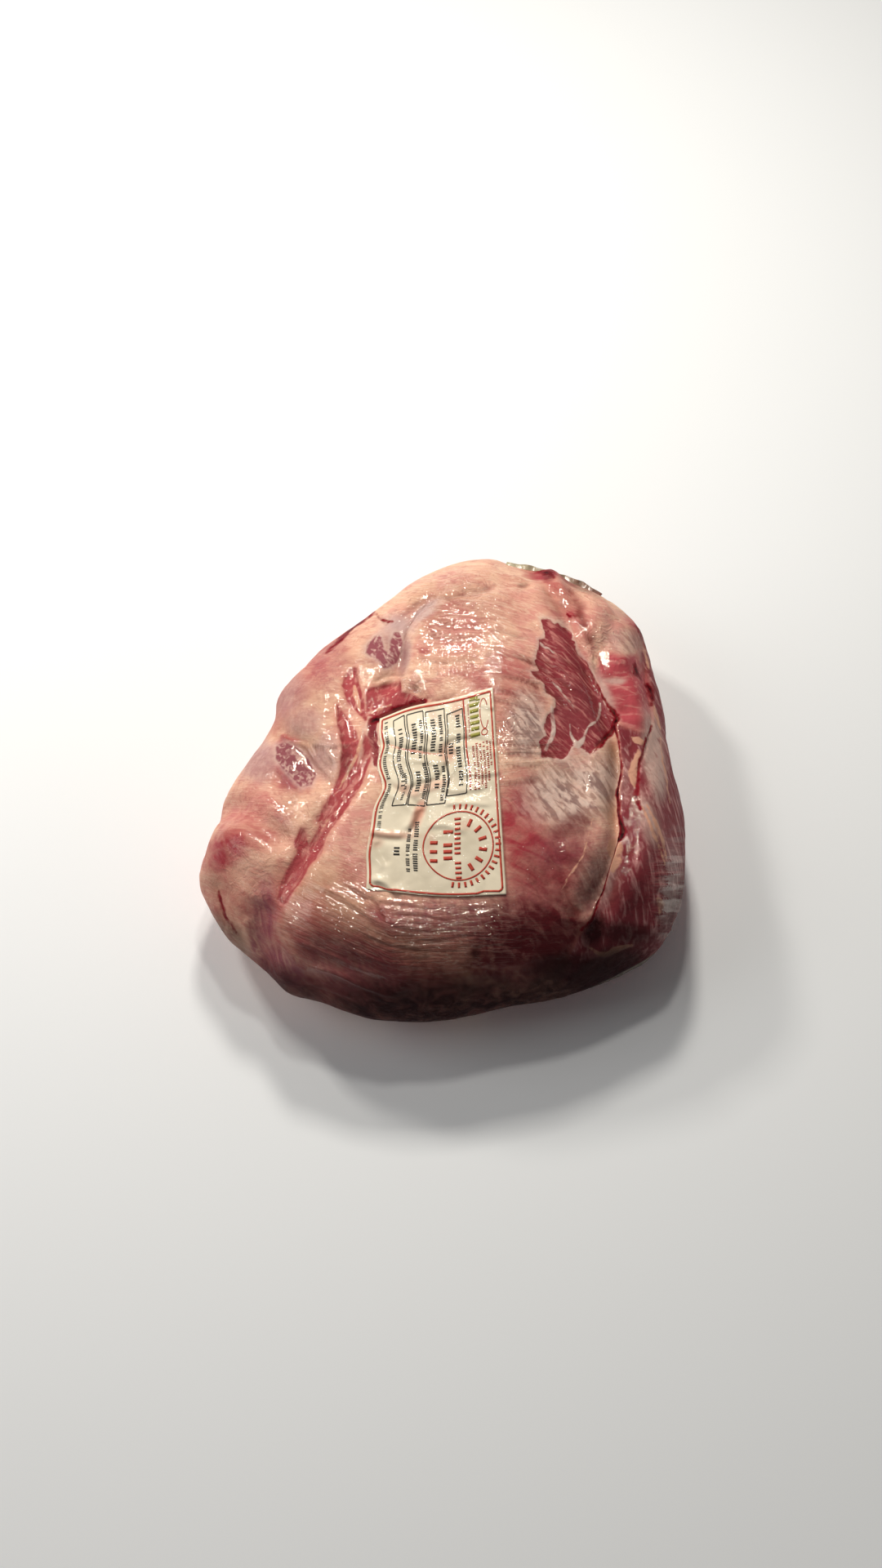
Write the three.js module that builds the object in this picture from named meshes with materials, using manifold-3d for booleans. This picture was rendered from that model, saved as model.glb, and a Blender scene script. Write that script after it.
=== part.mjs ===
// Beef shoulder clod, boneless, shrink-wrapped in a clear vacuum bag with a paper label inside the film.
// Millimetres, +Z up. The pack lies on the floor plane, and the origin is the middle of its box at the floor.
// The form is a soft lump with a measured plan outline. Its lobes, seams and hollows are relief on the show
// face, laid out on a picture plane: the face as an eye above and in front of the pack sees it.
import * as THREE from "three";
import { mergeVertices } from "three/addons/utils/BufferGeometryUtils.js";
import Module from "manifold-3d";

const wasm = await Module();
wasm.setup();

// Driving dimensions of the lump
const CROWN_HEIGHT = 124;
const RIM_HEIGHT = 50;
const BELLY_DEPTH = 24; // how far the round underside would hang below the floor that flattens it
const CROWN_POWER = 2.25;
const BELLY_POWER = 2.3;
const SPHERE_DETAIL = 22;
const CROWN_CROWDING = 0.42; // radians by which the mesh rings are drawn up from the rim to the crown

// Plan outline: radius of the rim every 15 degrees, anticlockwise from +X
const PLAN_RADII = [
  173, 174, 186, 208, 212, 205, 188, 165, 148, 142, 142, 137,
  152, 175, 191, 191, 186, 184, 179, 175, 184, 193, 196, 182,
];
// Corners of the outline that fall between those radii: plan angle and half width in degrees, and height
const PLAN_CORNERS = [
  { angle: 33, width: 8, height: -5 },
  { angle: 62, width: 11, height: -5.5 },
  { angle: 157, width: 5, height: -3 },
  { angle: 193, width: 5, height: -6 },
  { angle: 204, width: 4, height: 4 },
  { angle: 225, width: 5, height: -2 },
  { angle: 236, width: 4, height: 5 },
  { angle: 320, width: 5, height: 4 },
];

// The eye that looks at the show face, and the middle of its picture plane
const EYE_ELEVATION = THREE.MathUtils.degToRad(60);
const EYE_DISTANCE = 1500;
const PICTURE_CENTRE = new THREE.Vector3(0, 0, 60);
const FACING_START = 0.02; // the show face's relief begins where the surface starts to turn to the eye
const FACING_FULL = 0.3;

// Rounded lobes (rise above zero) and hollows of the show face: centre and radii on the picture plane
const SWELLS = [
  { name: "fat crown", at: [27, 102], radii: [72, 42], turn: -12, rise: 6 },
  { name: "left shoulder", at: [-92, 62], radii: [34, 44], turn: -30, rise: 6 },
  { name: "hollow by the notch", at: [-104, 13], radii: [19, 22], turn: 35, rise: -8 },
  { name: "end knob", at: [-149, -44], radii: [24, 22], turn: -30, rise: 7 },
  { name: "lower left belly", at: [-84, -96], radii: [45, 32], turn: -20, rise: 4 },
  { name: "front belly", at: [-10, -120], radii: [80, 36], turn: 0, rise: 4 },
  { name: "hollow over the label", at: [-38, 58], radii: [26, 11], turn: 12, rise: -4 },
  { name: "far right lobe", at: [121, 118], radii: [24, 36], turn: 30, rise: 6 },
  { name: "pink muscle", at: [134, 64], radii: [17, 30], turn: 10, rise: 5 },
  { name: "side muscle", at: [152, -34], radii: [18, 62], turn: 4, rise: 6 },
  { name: "silver skin hollow", at: [88, 2], radii: [36, 26], turn: -20, rise: -4 },
  { name: "seam bank", at: [100, -52], radii: [20, 40], turn: -12, rise: 3 },
  { name: "lower right belly", at: [62, -98], radii: [44, 30], turn: 12, rise: 4 },
  { name: "pit in the fat", at: [60, 146], radii: [6, 5], turn: 0, rise: -4 },
];

// Seams and folds of the show face: a line on the picture plane, its half width, and its depth
const GROOVES = [
  {
    name: "main seam",
    line: [
      [66, 161], [79, 153], [90, 132], [98, 110], [107, 92], [117, 68], [124, 50], [131, 32],
      [132, 10], [131, -14], [132, -36], [129, -50], [123, -68], [115, -86], [107, -100], [102, -112],
    ],
    width: 8,
    depth: 9,
  },
  {
    name: "outer seam",
    line: [[149, 108], [150, 80], [153, 56], [151, 34], [144, 6], [140, -14]],
    width: 7,
    depth: 4,
  },
  { name: "lobe cleft", line: [[110, 92], [116, 96], [122, 108], [124, 124]], width: 7, depth: 3 },
  {
    name: "gully round the crown",
    line: [[6, 141], [-10, 130], [-21, 118], [-27, 103], [-30, 88], [-38, 75], [-52, 69]],
    width: 6,
    depth: 5,
  },
  { name: "crown crease", line: [[10, 134], [24, 140], [38, 146], [54, 148]], width: 7, depth: 3 },
  { name: "upper lean strip", line: [[-68, 84], [-66, 56], [-65, 22], [-67, 0]], width: 7, depth: 2.5 },
  {
    name: "lower lean strip",
    line: [[-51, 34], [-58, 10], [-76, -14], [-93, -42], [-105, -60], [-116, -84]],
    width: 8,
    depth: 3,
  },
  {
    name: "knob crease",
    line: [[-163, -22], [-145, -21], [-133, -28], [-121, -38], [-110, -48]],
    width: 8,
    depth: 5,
  },
  {
    name: "notch",
    line: [[-125, 41], [-116, 35], [-105, 29], [-94, 16], [-84, 4], [-74, -6]],
    width: 8,
    depth: 4,
  },
  { name: "left trough", line: [[-131, -84], [-134, -112], [-128, -140]], width: 11, depth: 4 },
  { name: "end crease", line: [[-166, -70], [-163, -84], [-154, -104]], width: 8, depth: 3 },
  { name: "belly fold", line: [[-112, -132], [-84, -137], [-60, -146], [-28, -158]], width: 6, depth: -2 },
];
const LIP_SHARE = 0.22; // the meat beside a groove stands up by this share of its depth
const LIP_PLACE = 2.1; // and does so this many half widths from its line
const END_TAPER = 0.12; // share of a groove's length over which it fades out at either end
const GROOVE_STEPS_PER_CORNER = 4;

// Relief of the far side and the ends: plan angle and height of each swell, its half widths, and its rise
const REAR_SWELLS = [
  { angle: 32, height: 62, spread: 16, tall: 30, rise: 4 },
  { angle: 69, height: 70, spread: 4, tall: 46, rise: -7 },
  { angle: 84, height: 60, spread: 12, tall: 30, rise: 4 },
  { angle: 108, height: 52, spread: 5, tall: 44, rise: -5 },
  { angle: 128, height: 58, spread: 12, tall: 28, rise: 4 },
  { angle: 152, height: 40, spread: 6, tall: 34, rise: -5 },
  { angle: 8, height: 44, spread: 5, tall: 40, rise: -4 },
  { angle: 352, height: 42, spread: 10, tall: 26, rise: 3 },
];

// The gathered end of the bag, which stands off the far right shoulder
const TAIL_START = 44; // plan degrees
const TAIL_END = 74;
const TAIL_POLAR = 70; // degrees from the crown at which it leaves the lump
const TAIL_CELLS = [28, 4];
const TAIL_ROOT_DEPTH = 10;
const TAIL_STAND = 5;
const TAIL_TIP_SHARE = 0.45; // its height at either end, beside that at its middle
const TAIL_THICKNESS = 3;
const TAIL_LEAN = 3; // how far its edge leans down the lump
const TAIL_PLEATS = 4;
const TAIL_PLEAT_DEPTH = 1.5;
const TANGENT_STEP = 0.01; // radians
const JOIN_TOLERANCE = 0.02;
const MERGE_DISTANCE = 1e-5; // share of a unit primitive within which its vertices are one

// The label: true size, and where the shrunk film has drawn its corners on the picture plane
const LABEL_THICKNESS = 0.7;
const LABEL_GAP = 0.6;
const LABEL_CELLS = [14, 20];
const LABEL_CORNERS = { farLeft: [-45, 47], farRight: [38, 71], nearRight: [48, -80], nearLeft: [-55, -77] };
const LABEL_LEFT_BUCKLES = [
  { at: 0.6, width: 0.09, depth: 6 },
  { at: 0.83, width: 0.06, depth: 2.5 },
  { at: 0.22, width: 0.1, depth: -2 },
];
const LABEL_FAR_BOW = { at: 0.28, width: 0.25, height: 3 };
const LABEL_NEAR_BOW = { at: 0.55, width: 0.4, height: 4 };

const TAU = 2 * Math.PI;
const BACK = new THREE.Vector3(0, -Math.cos(EYE_ELEVATION), Math.sin(EYE_ELEVATION));
const UP = new THREE.Vector3(0, Math.sin(EYE_ELEVATION), Math.cos(EYE_ELEVATION));
const EYE = PICTURE_CENTRE.clone().addScaledVector(BACK, EYE_DISTANCE);

const bump = (x) => Math.exp(-x * x);
const degrees = (radians) => THREE.MathUtils.radToDeg(radians);

// Difference between two angles in degrees, from -180 to 180
function turnBetween(a, b) {
  return ((((a - b + 180) % 360) + 360) % 360) - 180;
}

// Where a point of the pack shows on the picture plane
function onPicture(point) {
  const arm = point.clone().sub(PICTURE_CENTRE);
  const scale = EYE_DISTANCE / (EYE_DISTANCE - arm.dot(BACK));
  return new THREE.Vector2(arm.x * scale, arm.dot(UP) * scale);
}

// Smooth closed curve through the evenly spaced radii, with the corners added
function planRadius(angle) {
  const count = PLAN_RADII.length;
  const place = ((((angle / TAU) % 1) + 1) % 1) * count;
  const first = Math.floor(place);
  const t = place - first;
  const at = (k) => PLAN_RADII[(first + k + count) % count];
  const [a, b, c, d] = [at(-1), at(0), at(1), at(2)];
  const smooth = b + 0.5 * t * (c - a + t * (2 * a - 5 * b + 4 * c - d + t * (3 * (b - c) + d - a)));
  return PLAN_CORNERS.reduce(
    (sum, corner) => sum + corner.height * bump(turnBetween(degrees(angle), corner.angle) / corner.width),
    smooth,
  );
}

// The lump at a plan angle and a polar angle from the crown, both in radians
function lumpPoint(angle, polar) {
  const upper = polar < Math.PI / 2;
  const power = 2 / (upper ? CROWN_POWER : BELLY_POWER);
  const reach = planRadius(angle) * Math.abs(Math.sin(polar)) ** power;
  const rise = Math.abs(Math.cos(polar)) ** power;
  const height = upper
    ? RIM_HEIGHT + (CROWN_HEIGHT - RIM_HEIGHT) * rise
    : RIM_HEIGHT - (RIM_HEIGHT + BELLY_DEPTH) * rise;
  return new THREE.Vector3(reach * Math.cos(angle), reach * Math.sin(angle), height);
}

// Each groove's line as evenly spaced points of a smooth curve
const grooveLines = GROOVES.map(({ line }) => {
  const corners = line.map(([u, v]) => new THREE.Vector3(u, v, 0));
  const curve = new THREE.CatmullRomCurve3(corners, false, "centripetal");
  return curve.getSpacedPoints(GROOVE_STEPS_PER_CORNER * corners.length);
});

// Distance from a picture point to a line, and how far along the line the nearest place is, from 0 to 1
function nearestOnLine(spot, line) {
  let best = { distance: Infinity, along: 0 };
  for (let i = 0; i + 1 < line.length; i++) {
    const dx = line[i + 1].x - line[i].x;
    const dy = line[i + 1].y - line[i].y;
    const raw = ((spot.x - line[i].x) * dx + (spot.y - line[i].y) * dy) / (dx * dx + dy * dy);
    const t = THREE.MathUtils.clamp(raw, 0, 1);
    const distance = Math.hypot(spot.x - line[i].x - t * dx, spot.y - line[i].y - t * dy);
    if (distance < best.distance) best = { distance, along: (i + t) / (line.length - 1) };
  }
  return best;
}

function swellRise(spot, { at, radii, turn, rise }) {
  const angle = THREE.MathUtils.degToRad(turn);
  const dx = spot.x - at[0];
  const dy = spot.y - at[1];
  const across = (dx * Math.cos(angle) + dy * Math.sin(angle)) / radii[0];
  const along = (-dx * Math.sin(angle) + dy * Math.cos(angle)) / radii[1];
  return rise * bump(Math.hypot(across, along));
}

function grooveRise(spot, { width, depth }, line) {
  const { distance, along } = nearestOnLine(spot, line);
  const ends = THREE.MathUtils.smoothstep(Math.min(along, 1 - along), 0, END_TAPER);
  const lips = LIP_SHARE * bump(distance / width - LIP_PLACE);
  return depth * ends * (lips - bump(distance / width));
}

// How far the show face stands above the plain lump at a picture point
function showRelief(spot) {
  const lobes = SWELLS.reduce((sum, swell) => sum + swellRise(spot, swell), 0);
  return GROOVES.reduce((sum, groove, i) => sum + grooveRise(spot, groove, grooveLines[i]), lobes);
}

// The same for the far side and the ends
function rearRelief(point) {
  const angle = degrees(Math.atan2(point.y, point.x));
  return REAR_SWELLS.reduce((sum, swell) => {
    const around = bump(turnBetween(angle, swell.angle) / swell.spread);
    const upright = bump((point.z - swell.height) / swell.tall);
    return sum + swell.rise * around * upright;
  }, 0);
}

// The wrapped lump: a fine sphere drawn out to the lump, raised by the relief, and flat where it lies
function lumpGeometry() {
  const sphere = new THREE.IcosahedronGeometry(1, SPHERE_DETAIL);
  sphere.deleteAttribute("normal");
  sphere.deleteAttribute("uv");
  const geometry = mergeVertices(sphere, MERGE_DISTANCE);
  const places = geometry.getAttribute("position");
  for (let i = 0; i < places.count; i++) {
    const direction = new THREE.Vector3().fromBufferAttribute(places, i).normalize();
    const angle = Math.atan2(direction.y, direction.x);
    const fall = Math.acos(THREE.MathUtils.clamp(direction.z, -1, 1));
    const point = lumpPoint(angle, fall - CROWN_CROWDING * Math.sin(fall) ** 2);
    places.setXYZ(i, point.x, point.y, point.z);
  }
  geometry.computeVertexNormals();
  const normals = geometry.getAttribute("normal");
  for (let i = 0; i < places.count; i++) {
    const point = new THREE.Vector3().fromBufferAttribute(places, i);
    const normal = new THREE.Vector3().fromBufferAttribute(normals, i);
    const facing = normal.dot(EYE.clone().sub(point).normalize());
    const shown = THREE.MathUtils.smoothstep(facing, FACING_START, FACING_FULL);
    const rise = shown * showRelief(onPicture(point)) + (1 - shown) * rearRelief(point);
    point.addScaledVector(normal, rise);
    places.setXYZ(i, point.x, point.y, Math.max(point.z, 0));
  }
  geometry.deleteAttribute("normal");
  return geometry;
}

// A box of many cells, each of whose corners is moved by place(across, along, through), all from 0 to 1
function warpedBox(cellsAcross, cellsAlong, place) {
  const box = new THREE.BoxGeometry(1, 1, 1, cellsAcross, cellsAlong, 1);
  box.deleteAttribute("normal");
  box.deleteAttribute("uv");
  const geometry = mergeVertices(box, MERGE_DISTANCE);
  const places = geometry.getAttribute("position");
  for (let i = 0; i < places.count; i++) {
    const p = place(places.getX(i) + 0.5, places.getY(i) + 0.5, places.getZ(i) + 0.5);
    places.setXYZ(i, p.x, p.y, p.z);
  }
  return geometry;
}

// The bag's gathered end: a low pleated fin that stands off the lump along its far right shoulder
function tailGeometry() {
  const polar = THREE.MathUtils.degToRad(TAIL_POLAR);
  return warpedBox(...TAIL_CELLS, (across, along, through) => {
    const angle = THREE.MathUtils.degToRad(THREE.MathUtils.lerp(TAIL_START, TAIL_END, across));
    const root = lumpPoint(angle, polar);
    const down = lumpPoint(angle, polar + TANGENT_STEP).sub(root).normalize();
    const sideways = lumpPoint(angle + TANGENT_STEP, polar).sub(root).normalize();
    const outward = down.clone().cross(sideways).normalize();
    const size = THREE.MathUtils.lerp(TAIL_TIP_SHARE, 1, Math.sin(Math.PI * across));
    const pleat = TAIL_PLEAT_DEPTH * Math.sin(TAU * TAIL_PLEATS * across);
    return root
      .addScaledVector(outward, THREE.MathUtils.lerp(-TAIL_ROOT_DEPTH, TAIL_STAND * size, along))
      .addScaledVector(down, (TAIL_LEAN + pleat) * along + (through - 0.5) * TAIL_THICKNESS);
  });
}

// A place on the label as a picture point: across from its left edge, along from its near edge
function labelSpot(across, along) {
  const mix = (a, b, t) => [a[0] + (b[0] - a[0]) * t, a[1] + (b[1] - a[1]) * t];
  const near = mix(LABEL_CORNERS.nearLeft, LABEL_CORNERS.nearRight, across);
  const far = mix(LABEL_CORNERS.farLeft, LABEL_CORNERS.farRight, across);
  const [u, v] = mix(near, far, along);
  const buckled = (edge) => edge.depth * bump((along - edge.at) / edge.width);
  const bowed = (edge) => edge.height * bump((across - edge.at) / edge.width);
  return [
    u + (1 - across) * LABEL_LEFT_BUCKLES.reduce((sum, edge) => sum + buckled(edge), 0),
    v + along * bowed(LABEL_FAR_BOW) - (1 - along) * bowed(LABEL_NEAR_BOW),
  ];
}

// The label: a thin sheet that follows the wrapped lump just clear of it
function labelGeometry(lump) {
  const ground = new THREE.Mesh(lump, new THREE.MeshBasicMaterial());
  const ray = new THREE.Raycaster();
  return warpedBox(...LABEL_CELLS, (across, along, through) => {
    const [u, v] = labelSpot(across, along);
    const spot = PICTURE_CENTRE.clone().addScaledVector(UP, v);
    spot.x += u;
    const sight = spot.sub(EYE).normalize();
    ray.set(EYE, sight);
    const found = ray.intersectObject(ground)[0].point;
    return found.addScaledVector(sight, -(LABEL_GAP + through * LABEL_THICKNESS));
  });
}

function toSolid(geometry) {
  return new wasm.Manifold(
    new wasm.Mesh({
      numProp: 3,
      vertProperties: geometry.getAttribute("position").array,
      triVerts: new Uint32Array(geometry.index.array),
    }),
  );
}

function toGeometry(solid) {
  const mesh = solid.getMesh();
  return new THREE.BufferGeometry()
    .setAttribute("position", new THREE.BufferAttribute(mesh.vertProperties, 3))
    .setIndex(new THREE.BufferAttribute(mesh.triVerts, 1));
}

function namedMesh(name, geometry, material) {
  const mesh = new THREE.Mesh(geometry, material);
  mesh.name = name;
  return mesh;
}

const wrappedBeef = new THREE.MeshStandardMaterial({ color: 0xc98f80, roughness: 0.2, metalness: 0 });
const labelPaper = new THREE.MeshStandardMaterial({ color: 0xe4dccb, roughness: 0.55, metalness: 0 });

const lump = lumpGeometry();
const bag = toGeometry(toSolid(lump).add(toSolid(tailGeometry())).simplify(JOIN_TOLERANCE));

const pack = new THREE.Group();
pack.add(namedMesh("bagged_clod", bag, wrappedBeef));
pack.add(namedMesh("label", labelGeometry(lump), labelPaper));

// The origin is the middle of the pack's box at the floor
const middle = new THREE.Box3().setFromObject(pack).getCenter(new THREE.Vector3());
for (const mesh of pack.children) mesh.geometry.translate(-middle.x, -middle.y, 0);

export default pack;
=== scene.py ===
"""Looks of a vacuum-packed beef shoulder clod.

The meat is one lump of fat, lean and silver skin. A clear film is shrunk over it, a printed paper label
lies between the two, and the gathered ends of the bag stand off as low fins. Lengths are millimetres
until a mesh is stored. Places on the show face are pixels of its 1080 x 1920 picture.
"""

import itertools
import logging
import math
from collections.abc import Callable, Iterable, Sequence
from dataclasses import dataclass, field
from enum import Enum

import bmesh
import bpy
import numpy as np
from mathutils import Matrix, Vector
from mathutils.bvhtree import BVHTree


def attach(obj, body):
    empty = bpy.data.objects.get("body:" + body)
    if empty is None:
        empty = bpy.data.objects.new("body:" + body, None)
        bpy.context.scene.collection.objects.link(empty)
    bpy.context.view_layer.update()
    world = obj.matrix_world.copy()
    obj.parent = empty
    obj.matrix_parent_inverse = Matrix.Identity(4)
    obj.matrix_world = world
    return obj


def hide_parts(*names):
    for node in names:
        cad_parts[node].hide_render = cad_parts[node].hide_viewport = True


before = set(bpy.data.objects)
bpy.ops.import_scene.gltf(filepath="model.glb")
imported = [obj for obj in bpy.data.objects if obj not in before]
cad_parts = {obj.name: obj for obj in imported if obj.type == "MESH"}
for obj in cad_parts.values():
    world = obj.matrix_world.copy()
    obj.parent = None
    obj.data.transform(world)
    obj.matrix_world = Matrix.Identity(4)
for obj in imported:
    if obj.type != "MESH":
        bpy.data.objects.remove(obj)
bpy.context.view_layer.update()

LOG = logging.getLogger("clod")
MM = 0.001  # metres
ROOT = "root"

Spot = tuple[float, float]
Tone = tuple[float, float, float]
Buckle = tuple[float, float, float]


class Slot(Enum):
    """Material slot names of the meat and the label."""

    BEEF = "wrapped_beef"
    PAPER = "label_paper"


class CadNode(Enum):
    """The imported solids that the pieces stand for."""

    CLOD = "bagged_clod"
    LABEL = "label"


def smooth_step(values: np.ndarray, start: float, end: float) -> np.ndarray:
    """Rise smoothly from 0 at start to 1 at end.

    Args:
        values: Numbers to place between the two ends.
        start: Where the rise begins; it may lie above end, for a fall.
        end: Where the rise ends.

    Returns:
        The eased shares, from 0 to 1.
    """
    t = np.clip((values - start) / (end - start), 0.0, 1.0)
    return t * t * (3.0 - 2.0 * t)


def unit(vectors: np.ndarray) -> np.ndarray:
    """Return the vectors, each one unit long."""
    return vectors / np.linalg.norm(vectors, axis=-1, keepdims=True)


HASH_PRIMES = np.array((73856093, 19349663, 83492791), dtype=np.int64)
HASH_SEED = 2654435761
HASH_MIX = 1274126177
HASH_MASK = 0xFFFFFFFF


def lattice_noise(points: np.ndarray, cell: float, seed: int) -> np.ndarray:
    """Give smooth seeded noise at points.

    Args:
        points: Places, one row each, of two or three numbers.
        cell: Size of a cell of the noise, in the unit of the points.
        seed: Picks the pattern.

    Returns:
        Values from -1 to 1.
    """
    places = points / cell
    corner = np.floor(places).astype(np.int64)
    t = places - corner
    t = t * t * (3.0 - 2.0 * t)
    total = np.zeros(len(points))
    for step in itertools.product((0, 1), repeat=points.shape[1]):
        key = (corner + step) @ HASH_PRIMES[: points.shape[1]] + seed * HASH_SEED
        key = ((key ^ (key >> 13)) * HASH_MIX) & HASH_MASK
        key = ((key ^ (key >> 15)) * HASH_MIX) & HASH_MASK
        weight = np.prod(np.where(np.array(step, bool), t, 1.0 - t), axis=1)
        total += weight * (key / (0.5 * HASH_MASK) - 1.0)
    return total


def layered_noise(points: np.ndarray, cell: float, seed: int, layers: int = 3) -> np.ndarray:
    """Sum layers of noise, each half as large and half as strong as the one before.

    Args:
        points: Places, one row each.
        cell: Cell size of the first layer.
        seed: Picks the pattern.
        layers: Number of layers.

    Returns:
        Values that lie mostly from -1 to 1.
    """
    total = sum(0.5**k * lattice_noise(points, cell * 0.5**k, seed + k) for k in range(layers))
    return total / (2.0 - 0.5 ** (layers - 1))


LINE_STEPS = 5


def rounded_line(corners: Sequence[Spot]) -> np.ndarray:
    """Draw a smooth line through corners, by Catmull-Rom.

    Args:
        corners: Places that the line passes, in order.

    Returns:
        Points of the line, one row each.
    """
    spots = np.array(corners, float)
    padded = np.vstack((2 * spots[0] - spots[1], spots, 2 * spots[-1] - spots[-2]))
    t = np.linspace(0.0, 1.0, LINE_STEPS, endpoint=False)[:, None]
    parts = []
    for a, b, c, d in zip(padded, padded[1:], padded[2:], padded[3:]):
        curve = t * (c - a + t * (2 * a - 5 * b + 4 * c - d + t * (3 * (b - c) + d - a)))
        parts.append(b + 0.5 * curve)
    return np.vstack((*parts, spots[-1:]))


def line_distance(spots: np.ndarray, line: np.ndarray) -> tuple[np.ndarray, np.ndarray]:
    """Find how far spots lie from a line.

    Args:
        spots: Places, one row each.
        line: Points of the line, in order.

    Returns:
        Distances, below zero on the line's left side as drawn, and how far along the line, from 0
        to 1, each spot's nearest place is.
    """
    best = np.full(len(spots), np.inf)
    side = np.ones(len(spots))
    along = np.zeros(len(spots))
    for i, (start, end) in enumerate(zip(line, line[1:])):
        step = end - start
        arm = spots - start
        t = np.clip(arm @ step / max(step @ step, 1e-9), 0.0, 1.0)
        distance = np.hypot(*(arm - t[:, None] * step).T)
        nearer = distance < best
        best[nearer] = distance[nearer]
        side[nearer] = np.sign(step[0] * arm[nearer, 1] - step[1] * arm[nearer, 0] + 1e-12)
        along[nearer] = (i + t[nearer]) / (len(line) - 1)
    return best * side, along


def outline_depth(spots: np.ndarray, outline: np.ndarray) -> np.ndarray:
    """Find how deep spots lie inside a closed outline.

    Args:
        spots: Places, one row each.
        outline: Corners of the outline, in order.

    Returns:
        Distances to the outline, above zero inside it.
    """
    closed = np.vstack((outline, outline[:1]))
    distance, _ = line_distance(spots, closed)
    inside = np.zeros(len(spots), bool)
    for (ax, ay), (bx, by) in zip(closed, closed[1:]):
        spans = (ay > spots[:, 1]) != (by > spots[:, 1])
        cross = ax + (spots[:, 1] - ay) * (bx - ax) / (by - ay if by != ay else 1e-9)
        inside ^= spans & (spots[:, 0] < cross)
    return np.abs(distance) * np.where(inside, 1.0, -1.0)


class Profile(Enum):
    """The cross-section of a crease."""

    ROUND = "round"
    SHARP = "sharp"
    FOLD = "fold"


@dataclass(frozen=True)
class Crease:
    """A groove or ridge along a line of the show face.

    Attributes:
        line: Pixels that it passes.
        width: Half width, in pixels.
        rise: Height in mm, below zero for a groove.
        profile: Its cross-section.
        taper: Share of its length over which each end fades out.
    """

    line: tuple[Spot, ...]
    width: float
    rise: float
    profile: Profile = Profile.ROUND
    taper: float = 0.18

    def heights(self, spots: np.ndarray) -> np.ndarray:
        """Return how far the crease lifts each spot, in mm."""
        line = rounded_line(self.line)
        reach = 4.0 * self.width
        near = np.all((spots > line.min(0) - reach) & (spots < line.max(0) + reach), axis=1)
        out = np.zeros(len(spots))
        distance, along = line_distance(spots[near], line)
        x = distance / self.width
        if self.profile is Profile.ROUND:
            section = np.exp(-(x**2))
        elif self.profile is Profile.SHARP:
            section = np.exp(-1.5 * np.abs(x))
        else:
            section = np.exp(-(x**2)) - 0.55 * np.exp(-((x - 1.9) ** 2))
        ends = smooth_step(np.minimum(along, 1.0 - along), 0.0, self.taper)
        out[near] = self.rise * ends * section
        return out


@dataclass(frozen=True)
class Band:
    """A strip of tissue along a line.

    Attributes:
        line: Pixels that it passes.
        widths: Half widths at its corners, in pixels.
    """

    line: tuple[Spot, ...]
    widths: tuple[float, ...]

    def depth(self, spots: np.ndarray) -> np.ndarray:
        """Return how deep each spot lies inside the band, in pixels."""
        distance, along = line_distance(spots, rounded_line(self.line))
        places = np.linspace(0.0, 1.0, len(self.widths))
        return np.interp(along, places, self.widths) - np.abs(distance)


@dataclass(frozen=True)
class Window:
    """An area of tissue with a crisp edge, given by its outline in pixels."""

    outline: tuple[Spot, ...]

    def depth(self, spots: np.ndarray) -> np.ndarray:
        """Return how deep each spot lies inside the window, in pixels."""
        return outline_depth(spots, np.array(self.outline, float))


@dataclass(frozen=True)
class Blot:
    """A soft-edged oval of tissue.

    Attributes:
        at: Its middle, in pixels.
        radii: Half sizes, in pixels.
        turn: Turn of the first radius, in degrees clockwise on the picture.
        strength: Its weight in the middle.
    """

    at: Spot
    radii: Spot
    turn: float = 0.0
    strength: float = 1.0

    def weight(self, spots: np.ndarray) -> np.ndarray:
        """Return the oval's weight at each spot."""
        angle = math.radians(self.turn)
        dx, dy = (spots - np.array(self.at)).T
        across = (dx * math.cos(angle) + dy * math.sin(angle)) / self.radii[0]
        along = (-dx * math.sin(angle) + dy * math.cos(angle)) / self.radii[1]
        return self.strength * smooth_step(np.hypot(across, along), 1.25, 0.35)


def blot_weights(blots: Iterable[Blot], spots: np.ndarray) -> np.ndarray:
    """Return the greatest weight that any of the blots has at each spot."""
    return np.max([blot.weight(spots) for blot in blots], axis=0)


@dataclass(frozen=True)
class ShowView:
    """Where the show face is seen from, and its picture.

    Attributes:
        aim: Point that it looks at, in mm.
        distance: From the eye to the aim, in mm.
        elevation: Of the eye above the floor, in radians.
        pixel: Size of a pixel at the aim, in mm.
        centre: The picture's middle, in pixels.
        lens: Focal length for a sensor of the given size on its long side, in mm.
        sensor: That size.
    """

    aim: tuple[float, float, float] = (-2.53, -9.78, 60.0)
    distance: float = 1500.0
    elevation: float = math.radians(60.0)
    pixel: float = 0.6
    centre: Spot = (540.0, 960.0)
    lens: float = 46.875
    sensor: float = 36.0

    @property
    def back(self) -> np.ndarray:
        """Direction from the aim to the eye."""
        return np.array((0.0, -math.cos(self.elevation), math.sin(self.elevation)))

    @property
    def up(self) -> np.ndarray:
        """Direction that is up on the picture."""
        return np.array((0.0, math.sin(self.elevation), math.cos(self.elevation)))

    @property
    def eye(self) -> np.ndarray:
        """Place of the eye, in mm."""
        return np.array(self.aim) + self.distance * self.back

    def pixels(self, points: np.ndarray) -> np.ndarray:
        """Return where points in mm show on the picture."""
        arms = points - np.array(self.aim)
        scale = self.distance / (self.distance - arms @ self.back) / self.pixel
        across, upward = arms[:, 0] * scale, (arms @ self.up) * scale
        return np.stack((self.centre[0] + across, self.centre[1] - upward), axis=1)

    def toward_eye(self, points: np.ndarray) -> np.ndarray:
        """Return the unit directions from points to the eye."""
        return unit(self.eye - points)

    def sight(self, spot: Spot) -> np.ndarray:
        """Return the unit direction from the eye through a pixel."""
        across = (spot[0] - self.centre[0]) * self.pixel
        upward = (self.centre[1] - spot[1]) * self.pixel
        target = np.array(self.aim) + upward * self.up + np.array((across, 0.0, 0.0))
        return unit(target - self.eye)


VIEW = ShowView()


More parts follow.
